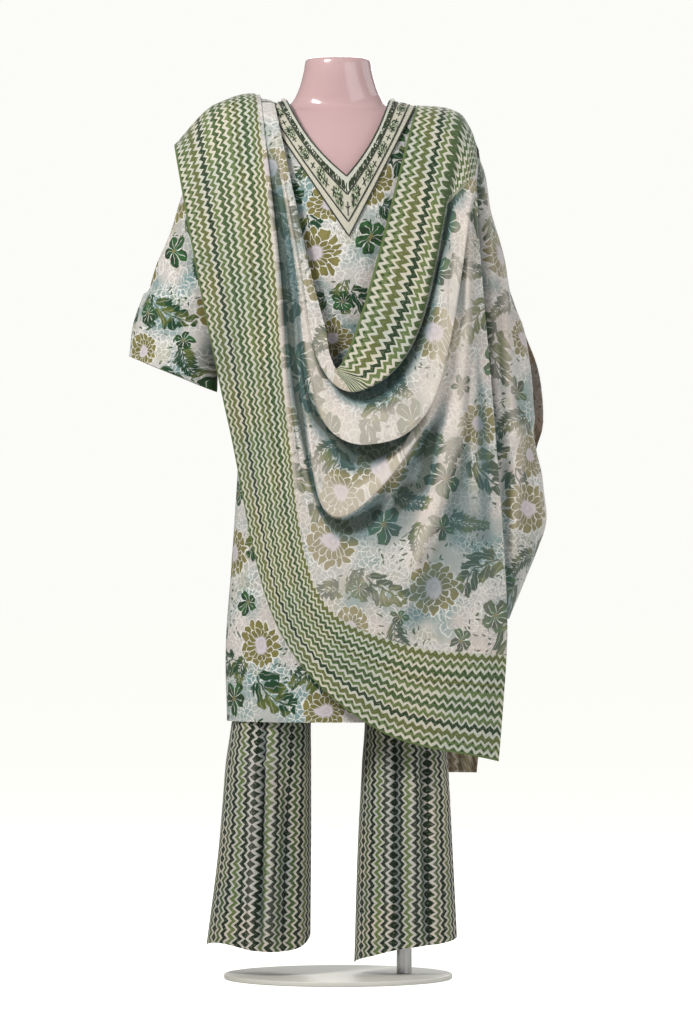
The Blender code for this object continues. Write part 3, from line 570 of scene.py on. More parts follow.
class Shader:
    """A material's nodes, with short ways to add the kinds that are used here."""

    def __init__(self, name):
        self.material = bpy.data.materials.new(name)
        self.material.use_nodes = True
        self.tree = self.material.node_tree
        self.surface = self.tree.nodes["Principled BSDF"]

    def feed(self, socket, value):
        if isinstance(value, Number):
            value = value.socket
        if isinstance(value, bpy.types.NodeSocket):
            self.tree.links.new(value, socket)
        else:
            socket.default_value = value

    def add(self, kind, *values, named=None, **settings):
        """A node with its settings, and its sockets' values in order, or by name or number."""
        node = self.tree.nodes.new("ShaderNode" + kind)
        for key, value in settings.items():
            setattr(node, key, value)
        for key, value in (named or dict(enumerate(values))).items():
            self.feed(node.inputs[key], value)
        return node

    def math(self, operation, *values):
        return Number(self, self.add("Math", *values, operation=operation).outputs[0])

    def vector(self, operation, *values):
        return self.add("VectorMath", *values, operation=operation).outputs[0]

    def scaled(self, vector, scale):
        named = {0: vector, "Scale": scale}
        return self.add("VectorMath", named=named, operation="SCALE").outputs[0]

    def turned(self, vector, angle):
        named = {0: vector, "Angle": angle}
        return self.add("VectorRotate", named=named, rotation_type="Z_AXIS").outputs[0]

    def place(self, layer):
        """The cloth's own coordinates, in metres."""
        return self.add("UVMap", uv_map=layer).outputs[0]

    def split(self, vector):
        parts = self.add("SeparateXYZ", vector)
        return [Number(self, parts.outputs[i]) for i in range(2)]

    def grain(self, vector, **named):
        return self.add("TexNoise", named={"Vector": vector, **named}, noise_dimensions="2D")

    def noise(self, vector, scale, detail=2.0):
        return Number(self, self.grain(vector, Scale=scale, Detail=detail).outputs[0])

    def voronoi(self, vector, scale, feature="F1"):
        named = {"Vector": vector, "Scale": scale}
        return self.add("TexVoronoi", named=named, voronoi_dimensions="2D", feature=feature)

    def mix(self, share, first, second, **settings):
        named = {0: share, 6: first, 7: second}
        return self.add("Mix", named=named, data_type="RGBA", **settings).outputs[2]

    def shade(self, share, colour, tint):
        """The colour multiplied by the tint, by a share."""
        return self.mix(share, colour, tint, blend_type="MULTIPLY")

    def ramp(self, share, stops):
        """Bands of colour: stops holds each band's start, from 0 to 1, and its colour."""
        node = self.add("ValToRGB", share)
        node.color_ramp.interpolation = "CONSTANT"
        elements = node.color_ramp.elements
        while len(elements) < len(stops):
            elements.new(1.0)
        for element, (start, _) in zip(elements, stops):
            element.position = start
        for element, (_, colour) in zip(elements, stops):
            element.color = colour
        return node.outputs[0]

    def finish(self, colour, roughness, height=None, distance=0.0, **values):
        self.feed(self.surface.inputs["Base Color"], colour)
        for name, value in {"Roughness": roughness, **values}.items():
            self.surface.inputs[name.replace("_", " ")].default_value = value
        if height is not None:
            named = {"Strength": 1.0, "Distance": distance, "Height": height}
            self.feed(self.surface.inputs["Normal"], self.add("Bump", named=named).outputs[0])
        return self.material

    def cloth(self, colour, roughness, sheen):
        """Cloth, with the height of its threads and slubs as bump."""
        place = self.place("print")
        x, y = self.split(place)
        warp, weft = (x * THREADS).math("SINE"), (y * THREADS).math("SINE")
        height = warp * weft * 0.25 + self.noise(place, 420.0)
        return self.finish(
            colour, roughness, height, 0.0003,
            Sheen_Weight=sheen, Sheen_Roughness=0.45, Specular_IOR_Level=0.25,
        )


THREADS = 1500.0

# The prints
WHITE = srgb(204, 201, 190)
LEG_WHITE = srgb(202, 195, 190)
LEG_DARK = srgb(24, 42, 28)
GREEN_DARK = srgb(38, 60, 38)
GREEN_MID = srgb(70, 92, 52)
GREEN_LIGHT = srgb(98, 115, 68)
OLIVE = srgb(98, 106, 60)
KHAKI = srgb(128, 122, 74)
GROUND = srgb(194, 192, 188)
CRACKLE = srgb(232, 230, 226)
TEAL = srgb(126, 152, 152)
ROSE = srgb(214, 196, 188)
PETAL_CENTRE = srgb(204, 196, 202)

TOOTH = 0.0145  # one tooth of the zigzags, along them
TOOTH_RISE = 1.12  # how steep a tooth is
BORDER_WIDE = 0.175
# One repeat of the border's zigzags across them: millimetres, colour, and the share of the band that
# a chain of dark diamonds fills
BORDER_BANDS = [
    (9.6, GREEN_MID, 0.5), (6.4, WHITE, 0), (8.6, GREEN_LIGHT, 0.5), (5.4, WHITE, 0), (9.8, OLIVE, 0),
    (6.8, WHITE, 0), (9.4, GREEN_DARK, 0), (4.4, WHITE, 0), (8.0, GREEN_LIGHT, 0), (6.6, WHITE, 0),
    (9.8, GREEN_MID, 0.5), (5.2, WHITE, 0), (8.6, GREEN_MID, 0), (7.0, WHITE, 0), (9.6, GREEN_LIGHT, 0.5),
    (5.0, WHITE, 0), (9.0, OLIVE, 0.5), (6.2, WHITE, 0),
]
# And of the trousers' zigzags, which run mirrored from each end of the repeat
LEG_BANDS = [
    (8.3, LEG_DARK, 0), (5.2, LEG_WHITE, 0), (8.0, GREEN_MID, 0), (5.0, LEG_WHITE, 0), (8.8, LEG_DARK, 0),
    (5.6, LEG_WHITE, 0), (7.4, GREEN_LIGHT, 0), (4.8, LEG_WHITE, 0), (8.6, LEG_DARK, 0), (6.0, LEG_WHITE, 0),
]
OFF, ON = (0, 0, 0, 1), (1, 1, 1, 1)


def zigzag(shader, rows, along, across, place, mirror=False):
    """Zigzag stripes of the block print, some with a chain of dark diamonds."""
    mix, noise = shader.mix, shader.noise
    widths = np.array([row[0] for row in rows])
    repeat = float(widths.sum())
    bands, marks = [], [(0.0, OFF)]
    for start, (wide, colour, chain) in zip(((np.cumsum(widths) - widths) / repeat).tolist(), rows):
        bands.append((start, colour))
        if chain:
            marks.append((start + (0.5 - chain / 2) * wide / repeat, ON))
            marks.append((start + (0.5 + chain / 2) * wide / repeat, OFF))
    tooth = (along + noise(place, 90.0, 1.0) * 0.0034).wave(TOOTH / 2) * TOOTH_RISE
    across = across + (noise(place, 55.0, 1.0) - 0.5) * 0.0052
    repeat /= 1000
    if mirror:
        across = across.wave(repeat)
    straight = ((across + tooth) / repeat).math("FRACT")
    mirrored = ((across - tooth) / repeat).math("FRACT")
    chains = Number(shader, shader.ramp(straight, marks)) * Number(shader, shader.ramp(mirrored, marks))
    colour = mix(chains, shader.ramp(straight, bands), GREEN_DARK)
    colour = mix(noise(place, 260.0).over(0.62, 0.10) * 0.30, colour, srgb(170, 172, 140))
    patch = noise(place, 9.0).over(0.5, 0.12)
    return shader.shade(0.8, colour, mix(patch, (0.84, 0.90, 0.89, 1), (1.04, 1.0, 0.92, 1)))


TILE = (0.34, 0.42)
# Motifs in one repeat of the flower print: place and size in millimetres, turn in degrees
MOTIFS = {
    "daisy": [
        (100, 75, 47, 10), (262, 150, 40, 40), (50, 235, 34, 0), (190, 300, 46, 25), (19, 374, 45, 55),
        (34, 40, 38, 15),
    ],
    "flower": [
        (205, 60, 31, 20), (150, 165, 28, 70), (300, 255, 31, 10), (62, 296, 20, 50), (235, 215, 20, 30),
        (130, 250, 17, 0), (200, 400, 26, 85), (20, 150, 22, 35), (107, 401, 30, 20),
    ],
    "sprig": [
        (30, 50, 46, 70), (170, 115, 40, 160), (290, 60, 50, 35), (90, 170, 42, 120), (320, 200, 46, 80),
        (110, 290, 40, 20), (262, 330, 48, 140), (10, 400, 44, 60),
    ],
    "fern": [
        (150, 20, 36, 15), (220, 105, 30, 110), (340, 100, 34, 150), (5, 290, 36, 150),
        (130, 215, 30, 60), (250, 405, 36, 10), (160, 375, 34, 100), (60, 300, 30, 80),
    ],
    "outline": [
        (160, 75, 34, 30), (310, 105, 36, 0), (110, 130, 30, 60), (230, 250, 38, 20), (20, 190, 34, 75),
        (120, 340, 34, 45), (330, 320, 36, 10), (60, 395, 34, 65), (200, 185, 30, 5),
    ],
}


def nearest_motif(shader, place, kind):
    """The place seen from the nearest motif of the tile, turned and in units of its size."""
    best, reach = None, None
    half = (TILE[0] / 2, TILE[1] / 2, 0.5)
    for x, y, size, turn in MOTIFS[kind]:
        offset = shader.vector("SUBTRACT", place, (x / 1000, y / 1000, 0))
        wrapped = shader.vector("WRAP", offset, half, tuple(-h for h in half))
        local = shader.turned(shader.scaled(wrapped, 1000 / size), math.radians(turn))
        length = shader.add("VectorMath", local, operation="LENGTH")
        far = Number(shader, length.outputs["Value"])
        if best is None:
            best, reach = local, far
        else:
            named = {0: far.math("LESS_THAN", reach), 4: best, 5: local}
            best = shader.add("Mix", named=named, data_type="VECTOR").outputs[1]
            reach = reach.math("MINIMUM", far)
    return best, reach


def around(shader, local):
    x, y = shader.split(local)
    return y.math("ARCTAN2", x)


def highest(first, *others):
    for other in others:
        first = first.math("MAXIMUM", other)
    return first


def daisies(shader, place, colour):
    """Daisies with two rings of broad petals, outlined in white, round a pale heart."""
    mix, noise = shader.mix, shader.noise
    local, far = nearest_motif(shader, place, "daisy")
    turn = around(shader, local) + noise(place, 35.0, 1.0) * 0.5
    off = (turn * (15 / TURN)).wave(0.5) * 2
    inner_off = 1 - off
    ragged = noise(place, 70.0, 1.0)
    outline = 0.98 - off * off * off * 0.22 + ragged * 0.24 - 0.12
    inner_outline = 0.66 - inner_off * inner_off * 0.16 + ragged * 0.10 - 0.05
    khaki = mix(noise(place, 60.0), srgb(104, 100, 54), srgb(144, 136, 84))
    petal = mix(far.under(inner_outline, 0.01) * 0.35, khaki, srgb(96, 92, 50))
    white = highest(
        (far - outline).over(-0.055, 0.02), off.over(0.90, 0.05) * far.over(inner_outline, 0.01),
        abs(far - inner_outline).under(0.020, 0.012),
        inner_off.over(0.88, 0.06) * far.under(inner_outline, 0.01),
    )
    flower = mix(white, petal, CRACKLE)
    heart = (far + noise(place, 260.0, 1.0) * 0.16).under(0.40, 0.05)
    flower = mix(heart, flower, PETAL_CENTRE)
    flower = mix(abs(far - 0.13).under(0.05, 0.03) * 0.3, flower, srgb(160, 150, 150))
    return mix(far.under(outline, 0.02), colour, flower)


def dark_flowers(shader, place, colour):
    mix = shader.mix
    local, far = nearest_motif(shader, place, "flower")
    off = (around(shader, local) * (5 / TURN)).wave(0.5) * 2
    outline = 1.0 - off * off * 0.52 - off.under(0.18, 0.18) * 0.10
    petal = mix(shader.noise(place, 45.0).over(0.5, 0.1), GREEN_DARK, srgb(52, 96, 54))
    veins = off.over(0.90, 0.04) * far.over(0.12, 0.02)
    middle = off.under(0.05, 0.03) * far.under(0.72, 0.05) * 0.8
    flower = mix(highest(veins, middle), petal, CRACKLE)
    flower = mix(far.under(0.13, 0.03), flower, KHAKI)
    return mix(far.under(outline, 0.02), colour, flower)


def sprigs(shader, place, colour, kind, leaves, reach, width):
    """Leaves on both sides of bent stems: leaves for each half length, and their reach and width."""
    mix = shader.mix
    x, y = shader.split(nearest_motif(shader, place, kind)[0])
    bent = y - x * x * 0.30
    side = abs(bent)
    shifted = x + bent.over(0.0, 0.001) * (0.5 / leaves)
    along = ((shifted - side * 1.1) * leaves).math("FRACT") - 0.5
    half = (1.0 - abs(x + 0.3) * 0.45) * (reach / 2)
    out = (side - half * 1.05) / half
    leaf = abs(along) * width + out * out + (shader.noise(place, 110.0, 1.0) * 0.5 - 0.25)
    inside = leaf.under(1.0, 0.06) * abs(x).under(0.93, 0.02)
    stem = side.under(0.028, 0.012) * abs(x).under(0.95, 0.03)
    rib = abs(along).under(0.03, 0.03) * side.over(0.06, 0.02) * 0.3
    green = mix(shader.noise(place, 25.0).over(0.54, 0.06), srgb(30, 66, 42), srgb(92, 104, 52))
    return mix(highest(inside, stem), colour, mix(rib, green, CRACKLE))


def outlined_flowers(shader, place, colour):
    """Flowers drawn in white lines on the ground."""
    local, far = nearest_motif(shader, place, "outline")
    off = (around(shader, local) * (6 / TURN)).wave(0.5) * 2
    outline = 1.0 - off * off * 0.42
    rim = abs(far - outline).under(0.035, 0.02)
    inner = abs(far - outline * 0.55).under(0.028, 0.02)
    rays = off.under(0.06, 0.04) * far.under(0.9, 0.05)
    return shader.mix(highest(rim, inner, rays) * 0.8, colour, CRACKLE)


def seeds(shader, place, colour, scale=85.0):
    """Small dashes and dots, in clusters."""
    cells = shader.voronoi(place, scale)
    centre = shader.scaled(cells.outputs["Position"], scale)
    pick = shader.add("SeparateColor", cells.outputs["Color"])
    red, green = (Number(shader, pick.outputs[i]) for i in range(2))
    local = shader.vector("SUBTRACT", shader.scaled(place, scale), centre)
    x, y = shader.split(shader.turned(local, red * TURN))
    inside = ((x * x) * 9.0 + (y * y) * 60.0).under(1.0, 0.15)
    where = shader.noise(place, 16.0, 1.0).over(0.56, 0.03) * green.over(0.35, 0.01)
    return shader.mix(inside * where, colour, srgb(58, 84, 50))


def bent_place(shader, place, scale, reach):
    """The place moved about by noise, so that what is drawn on it looks drawn by hand."""
    noise = shader.grain(place, Scale=scale)
    bend = shader.vector("MULTIPLY", noise.outputs["Color"], (reach, reach, 0))
    return shader.vector("ADD", place, bend)


def flower_print(shader, sheer=False):
    """The flower print on its crackled ground, with washes of blue-grey and rose."""
    mix, noise = shader.mix, shader.noise
    place = shader.place("print")
    ground = mix(noise(place, 11.0).over(0.52, 0.10), GROUND, TEAL)
    warm = noise(shader.vector("ADD", place, (3.1, 1.7, 0)), 8.0).over(0.55, 0.08)
    ground = mix(warm * (0.6 if sheer else 0.45), ground, ROSE)
    olive = noise(shader.vector("ADD", place, (7.3, 4.1, 0)), 14.0).over(0.66, 0.03)
    ground = mix(olive * 0.35, ground, srgb(150, 150, 110))
    cells = shader.voronoi(bent_place(shader, place, 60.0, 0.012), 105.0, "DISTANCE_TO_EDGE")
    lines = Number(shader, cells.outputs["Distance"]).under(0.07, 0.04)
    colour = mix(lines * noise(place, 18.0, 1.0).over(0.40, 0.12) * 0.9, ground, CRACKLE)
    drawn = bent_place(shader, bent_place(shader, place, 28.0, 0.018), 130.0, 0.0035)
    colour = seeds(shader, drawn, outlined_flowers(shader, drawn, colour))
    colour = sprigs(shader, drawn, colour, "fern", 4.0, 0.56, 1.9)
    colour = sprigs(shader, drawn, colour, "sprig", 1.9, 0.66, 2.0)
    colour = daisies(shader, drawn, dark_flowers(shader, drawn, colour))
    return mix(0.08, colour, srgb(206, 198, 186)) if sheer else colour


def kurta_material():
    shader = Shader("kurta_cloth")
    return shader.cloth(flower_print(shader), 0.82, 0.15)


def trouser_material():
    shader = Shader("trouser_cloth")
    place = shader.place("print")
    x, y = shader.split(place)
    colour = zigzag(shader, LEG_BANDS, y, x, place, mirror=True)
    lighting, _ = shader.split(shader.place("fold"))
    # Painted shade in the legs' creases, multiplied blue-grey, and a faint painted highlight on their ridges,
    # read from the fold map
    colour = shader.shade(lighting.under(0.30, 0.26) * 0.85, colour, (0.22, 0.30, 0.36, 1))
    colour = shader.mix(lighting.over(0.74, 0.16) * 0.12, colour, srgb(208, 198, 192))
    return shader.cloth(colour, 0.82, 0.15)


def dupatta_material(name, reverse=False):
    """Zigzag within the border's width of a long edge, and the sheerer flower print elsewhere, with painted
    shade in its fold troughs and painted highlight on its crests.
    """
    shader = Shader(name)
    mix, shade = shader.mix, shader.shade
    edge_place = shader.place("border")
    along, across = shader.split(edge_place)
    stripes = zigzag(shader, BORDER_BANDS, along, across, edge_place)
    stripes = mix(across.under(0.0035, 0.0006), stripes, GREEN_LIGHT)
    lighting, _ = shader.split(shader.place("fold"))
    # From the fold map: painted highlight as pale rose and cream washes on the fold crests and the lit strip,
    # painted shade as teal in the troughs, and near-black painted shadow in the deepest gap under the border
    sheer = mix(lighting.over(0.45, 0.20) * 0.12, flower_print(shader, sheer=True), srgb(212, 200, 192))
    sheer = mix(lighting.over(0.72, 0.16) * 0.30, sheer, srgb(218, 202, 194))
    sheer = mix(lighting.over(0.95, 0.04) * 0.25, sheer, srgb(214, 208, 196))
    sheer = mix(lighting.under(0.26, 0.15) * 0.42, sheer, srgb(104, 142, 148))
    sheer = shade(lighting.under(0.30, 0.18) * 0.62, sheer, (0.24, 0.34, 0.36, 1))
    sheer = shade(lighting.under(0.04, 0.04) * 0.80, sheer, (0.30, 0.30, 0.24, 1))
    colour = mix(across.under(BORDER_WIDE, 0.0005), sheer, stripes)
    if reverse:
        colour = mix(0.38, colour, srgb(196, 158, 142))
    return shader.cloth(colour, 0.72, 0.35)


def plain_material(name, colour, roughness, bump_scale=0.0, **values):
    """One colour with slight mottling, and a fine grain if it has a bump scale."""
    shader = Shader(name)
    place = shader.add("TexCoord").outputs["Object"]
    mottle, height = (
        shader.add("TexNoise", named={"Vector": place, "Scale": scale}).outputs[0] if scale else None
        for scale in (14.0, bump_scale)
    )
    darker = tuple(c * 0.93 for c in colour[:3]) + (1.0,)
    return shader.finish(shader.mix(mottle, darker, colour), roughness, height, 0.0002, **values)


def shell(name, points, maps, centres=None, closed=False, outwards=True, wall=WALL, raised=None):
    """A closed cloth wall on a grid of points, with UV maps in metres. raised is extra relief."""
    normals, facing = grid_normals(points, centres, closed)
    if raised is not None:
        points = points + normals * raised[..., None]
        normals, facing = grid_normals(points, centres, closed)
    outer, inner = (points + wall * normals, points) if outwards else (points, points - wall * normals)
    rows, count = points.shape[:2]
    wide = count + 1
    c, r = np.arange(count if closed else count - 1), np.arange(rows - 1)
    corner = (r[:, None] * wide + c).ravel()
    front = np.stack([corner, corner + wide, corner + wide + 1, corner + 1], axis=1)
    last = (rows - 1) * wide
    edges = [np.stack([last + c, last + c + 1], axis=1), np.stack([c + 1, c], axis=1)]
    if not closed:
        right = count - 1
        edges.append(np.stack([r * wide, (r + 1) * wide], axis=1))
        edges.append(np.stack([(r + 1) * wide + right, r * wide + right], axis=1))
    rim = np.concatenate(edges)[:, [1, 0, 0, 1]]
    layer = rows * count

    def vertex(code):
        return code // wide * count + (code % wide) % count

    rim_faces = vertex(rim) + np.array([0, 0, layer, layer])
    faces = np.concatenate([vertex(front), vertex(front[:, ::-1]) + layer, rim_faces])
    codes = np.concatenate([front, front[:, ::-1], rim])
    if facing < 0:
        faces, codes = faces[:, ::-1], codes[:, ::-1]
    vertices = np.concatenate([outer.reshape(-1, 3), inner.reshape(-1, 3)])
    piece = new_piece(name, vertices, faces.tolist(), 50)
    for layer_name, grid in maps.items():
        if grid.shape[1] == count:
            grid = np.concatenate([grid, grid[:, -1:]], axis=1)
        flat = grid.reshape(-1, 2)[codes.ravel()]
        piece.data.uv_layers.new(name=layer_name).data.foreach_set("uv", flat.ravel().astype(np.float32))
    backs = np.zeros(len(faces), np.int32)
    backs[len(front):2 * len(front)] = 1
    return piece, backs


def new_piece(name, vertices, faces, sharp):
    mesh = bpy.data.meshes.new(name)
    mesh.from_pydata(vertices.tolist(), [], faces)
    mesh.polygons.foreach_set("use_smooth", np.ones(len(mesh.polygons), bool))
    mesh.update()
    mesh.set_sharp_from_angle(angle=math.radians(sharp))
    return in_scene(name, mesh)


def in_scene(name, data):
    thing = bpy.data.objects.new(name, data)
    bpy.context.scene.collection.objects.link(thing)
    return thing


def joined(name, parts, sharp=50):
    """One piece from several lists of vertices and faces."""
    faces, start = [], 0
    for points, polygons in parts:
        faces += [tuple(start + i for i in face) for face in polygons]
        start += len(points)
    return new_piece(name, np.concatenate([points for points, _ in parts]), faces, sharp)


def ring_faces(rows, sides, looped=False):
    """Faces that join rings of points, with caps where the run isn't looped."""
    faces = []
    for i in range(rows if looped else rows - 1):
        j = (i + 1) % rows
        for k in range(sides):
            m = (k + 1) % sides
            faces.append((i * sides + k, i * sides + m, j * sides + m, j * sides + k))
    if not looped:
        faces += [tuple(range(sides))[::-1], tuple(range((rows - 1) * sides, rows * sides))]
    return faces


def distances(points, axis, columns=(0, 1, 2), start=0):
    """Distances along a grid from an index, counting only some of x, y and z."""
    steps = np.linalg.norm(np.diff(points[..., list(columns)], axis=axis), axis=-1)
    zero = np.zeros_like(np.take(steps, [0], axis))
    total = np.concatenate([zero, np.cumsum(steps, axis)], axis)
    return total - np.take(total, [start], axis)


def pair(u, v):
    return np.stack(np.broadcast_arrays(u, v), axis=-1)


def ringed(points):
    """A grid of closed rings with the first column again at its end."""
    return np.concatenate([points, points[:, :1]], axis=1)


def dressed(piece, slot, material, *nodes):
    """Gives a piece its material and its body, and hides the CAD nodes that it stands for. The slot is not
    used.
    """
    piece.data.materials.append(material)
    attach(piece, "root")
    if nodes:
        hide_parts(*nodes)
    return piece


def dupatta_piece(materials, node, points, maps, **wall):
    piece, backs = shell(node + "_cloth", points, maps, **wall)
    dressed(piece, "dupatta_cloth", materials[0], node)
    piece.data.materials.append(materials[1])
    piece.data.polygons.foreach_set("material_index", backs)
    return piece


def add_kurta(cloth):
    for front, node, folds, shift, area in (
        (True, "kurta_front", KURTA_FRONT_FOLDS, 0.046, 0.46),
        (False, "kurta_back", KURTA_BACK_FOLDS, 0.210, 0.47),
    ):
        points = body_panel(front)
        across = distances(points, 1, (0, 1), points.shape[1] // 2)
        up = HEM + distances(points, 0, (1, 2))
        relief = sum(fold_heights(points[..., 0], points[..., 2], folds))
        piece, _ = shell(node + "_cloth", points, {"print": pair(across + shift, up)}, raised=relief)
        dressed(piece, "kurta_cloth", cloth, node)
    for side, node, area in ((LEFT, "sleeve_left", 0.13), (RIGHT, "sleeve_right", 0.10)):
        points = sleeve_points(side)
        centres = np.broadcast_to(points.mean(axis=1, keepdims=True), points.shape)
        x, y, z = np.moveaxis(ringed(points), -1, 0)
        piece, _ = shell(
            node + "_cloth", points, {"print": pair(x + 0.6 * side * y, z + 0.02)}, centres,
            closed=True, outwards=False, raised=sleeve_relief(side, points, centres),
        )
        dressed(piece, "kurta_cloth", cloth, node)


def sleeve_relief(side, points, centres):
    """Height of the sleeve's tuck and soft diagonal folds off its smooth form."""
    x, y, z = np.moveaxis(points, -1, 0)
    folds = 0.0022 * np.sin(70 * (z + 0.6 * side * x) + 5 * y) * eased(0.15, 0.24, side * x)
    if side == RIGHT:
        return folds * 0.3 * eased(1.20, 1.10, z)
    outer = eased(0.0, 0.05, side * (x - centres[..., 0]))
    tuck = 0.007 * outer * eased(1.146, 1.140, z) * eased(1.05, 1.13, z)
    return np.maximum(tuck + folds * np.where(eased(1.22, 1.17, z) > 0, 1.0, 0.5), -0.002)


def neck_material():
    shader = Shader("neck_border")
    mix, noise = shader.mix, shader.noise
    place = shader.place("print")
    along, across = shader.split(place)
    even = shader.add("CombineXYZ", along * 160.0, across * 8.0, 0.0).outputs[0]  # in millimetres
    pale = mix(noise(place, 80.0), srgb(196, 198, 186), srgb(218, 218, 206))
    colour = mix(across.over(0.75, 0.004), pale, srgb(208, 204, 188))
    middle = across.over(0.31, 0.004) * across.under(0.75, 0.004)
    colour = mix(middle, colour, srgb(204, 201, 184))
    chain = abs(across - 0.21).under(0.085, 0.02) * noise(even, 1.0, 1.0)
    colour = mix(chain.over(0.43, 0.06), colour, srgb(54, 74, 42))
    leaves, off = (along / 0.046).math("FRACT") - 0.5, (across - 0.52) / 0.2
    cluster = (leaves * leaves * 13.0 + off * off).under(1.0, 0.3)
    colour = mix(cluster * noise(even, 2.2, 1.0).over(0.47, 0.05), colour, srgb(48, 84, 44))
    return shader.cloth(colour, 0.8, 0.1)


def add_neck(cloth, thread, cream):
    """The V border with its thread work and rolled ends, and the binding round the back."""
    points = neck_band_points()
    along = distances(points, 1, start=BAND_STEPS).mean(axis=0)
    maps = {"print": pair(along, np.linspace(0, 1, len(points))[:, None])}
    band, _ = shell("neck_band_cloth", points, maps)
    dressed(band, "neck_border", cloth, "neck_band")
    normals, _ = grid_normals(points)
    border = (points + normals * WALL, normals, along)
    ends = along[[0, -1]]
    full = np.linspace(*ends, len(along))
    work = [tube(on_border(border, share, full, 0.0003), 0.0013) for share in BAND_LINES]
    crosses, loops, rolls = [], [], []
    for end in ends:
        for i in range(1 if end > 0 else 0, CROSSES):
            crosses += cross_stitch(border, 0.54, end * i / (CROSSES - 0.6))
        for i in range(1, LOOPS):
            loops.append(ring_stitch(border, 0.215, end * i / LOOPS, 0.0030))
        at = np.linspace(0.925, 1.0, 12)
        rolls.append(tube(on_border(border, 0.12, end * at, 0.0), 0.0052, 12))
    work = dressed(joined("neck_embroidery", work + crosses + loops), "neck_border", thread)
    dressed(joined("neck_binding_rolls", rolls), "neck_border", cream)
    points = neck_binding_points()
    maps = {"print": pair(distances(points, 1), distances(points, 0) / 0.05)}
    binding, _ = shell("neck_band_back_cloth", points, maps)
    dressed(binding, "neck_border", cloth, "neck_band_back")


def on_border(border, shares, places, lift):
    """Points on the border at shares of its width and distances along it, lifted off it."""
    points, normals, along = border
    shares, places = np.broadcast_arrays(shares, places)
    r = np.clip(shares, 0, 1) * (len(points) - 1)
    c = np.interp(places, along, np.arange(len(along)))
    r0, c0 = np.minimum(r.astype(int), len(points) - 2), np.minimum(c.astype(int), len(along) - 2)
    fr, fc = (r - r0)[:, None], (c - c0)[:, None]
    grid = points + lift * normals
    return (
        grid[r0, c0] * (1 - fr) * (1 - fc) + grid[r0 + 1, c0] * fr * (1 - fc)
        + grid[r0, c0 + 1] * (1 - fr) * fc + grid[r0 + 1, c0 + 1] * fr * fc
    )


def tube(path, radius, sides=6, looped=False):
    """Vertices and faces of a round cord along a path."""
    tangent = np.roll(path, -1, 0) - np.roll(path, 1, 0) if looped else np.gradient(path, axis=0)
    tangent /= np.linalg.norm(tangent, axis=1, keepdims=True)
    one = np.cross(tangent, (0.0, -1.0, 0.15))
    one /= np.linalg.norm(one, axis=1, keepdims=True)
    two = np.cross(tangent, one)
    turn = np.linspace(0, TURN, sides, endpoint=False)[None, :, None]
    rings = path[:, None] + radius * (one[:, None] * np.cos(turn) + two[:, None] * np.sin(turn))
    return rings.reshape(-1, 3), ring_faces(len(path), sides, looped)


def cross_stitch(border, share, place):
    """A plus cross of two raised stitches."""
    at = np.linspace(-STITCH, STITCH, 7)
    paths = ((share, place + at), (share + at / BAND_ACROSS, place))
    return [tube(on_border(border, *path, 0.0004), 0.0009, 5) for path in paths]


def ring_stitch(border, share, place, radius):
    turn = np.linspace(0, TURN, 10, endpoint=False)
    shares, places = share + np.sin(turn) * radius / BAND_ACROSS, place + np.cos(turn) * radius
    return tube(on_border(border, shares, places, 0.0003), 0.0007, 4, looped=True)


def add_trousers(cloth):
    for side, word in ((LEFT, "left"), (RIGHT, "right")):
        for front, face in ((True, "front"), (False, "back")):
            node = f"trouser_{word}_{face}"
            points = leg_panel(side, front)
            count = points.shape[1]
            x, _, z = np.moveaxis(points, -1, 0)
            across = distances(points, 1, (0, 1), count // 2)
            fanned = across / (across[:, -1:] - across[:, :1]) * 0.26 * 0.7 + across * 0.3
            relief = sum(fold_heights(x, z, LEG_FOLDS[side])) * LEG_FOLD_SCALE
            relief *= np.sin(np.linspace(0, math.pi, count)) ** 0.5
            # The fold map holds each place's crease depth or ridge height, from which the material paints
            # shade in the creases and highlight on the ridges
            maps = {
                "print": pair(side * fanned + (0.045 if front else 0.150), z),
                "fold": pair(np.clip(0.5 + relief / 0.018, 0, 1), 0.0),
            }
            centres = stack(side * LEG_MIDDLE, 0.0, z)
            piece, _ = shell(node + "_cloth", points, maps, centres, raised=relief)
            dressed(piece, "trouser_cloth", cloth, node)
    low = WAIST + WAISTBAND_GAP
    section = (float(read(HIPS, c, WAIST)) for c in ("wide", "front", "back"))
    points = ring(*section, np.linspace(low, low + WAISTBAND_TALL, 9)[:, None], 120)
    ends = ringed(points)
    z = ends[..., 2]
    maps = {"print": pair(distances(ends, 1, (0, 1)), z), "fold": pair(z * 0 + 0.5, 0.0)}
    gather = 0.0006 + 0.0006 * np.sin(np.arange(120) * TURN * 40 / 120) * np.ones((9, 1))
    piece, _ = shell(
        "trouser_waistband_cloth", points, maps, closed=True, wall=WAISTBAND_WALL, raised=gather,
    )
    dressed(piece, "trouser_cloth", cloth, "trouser_waistband")


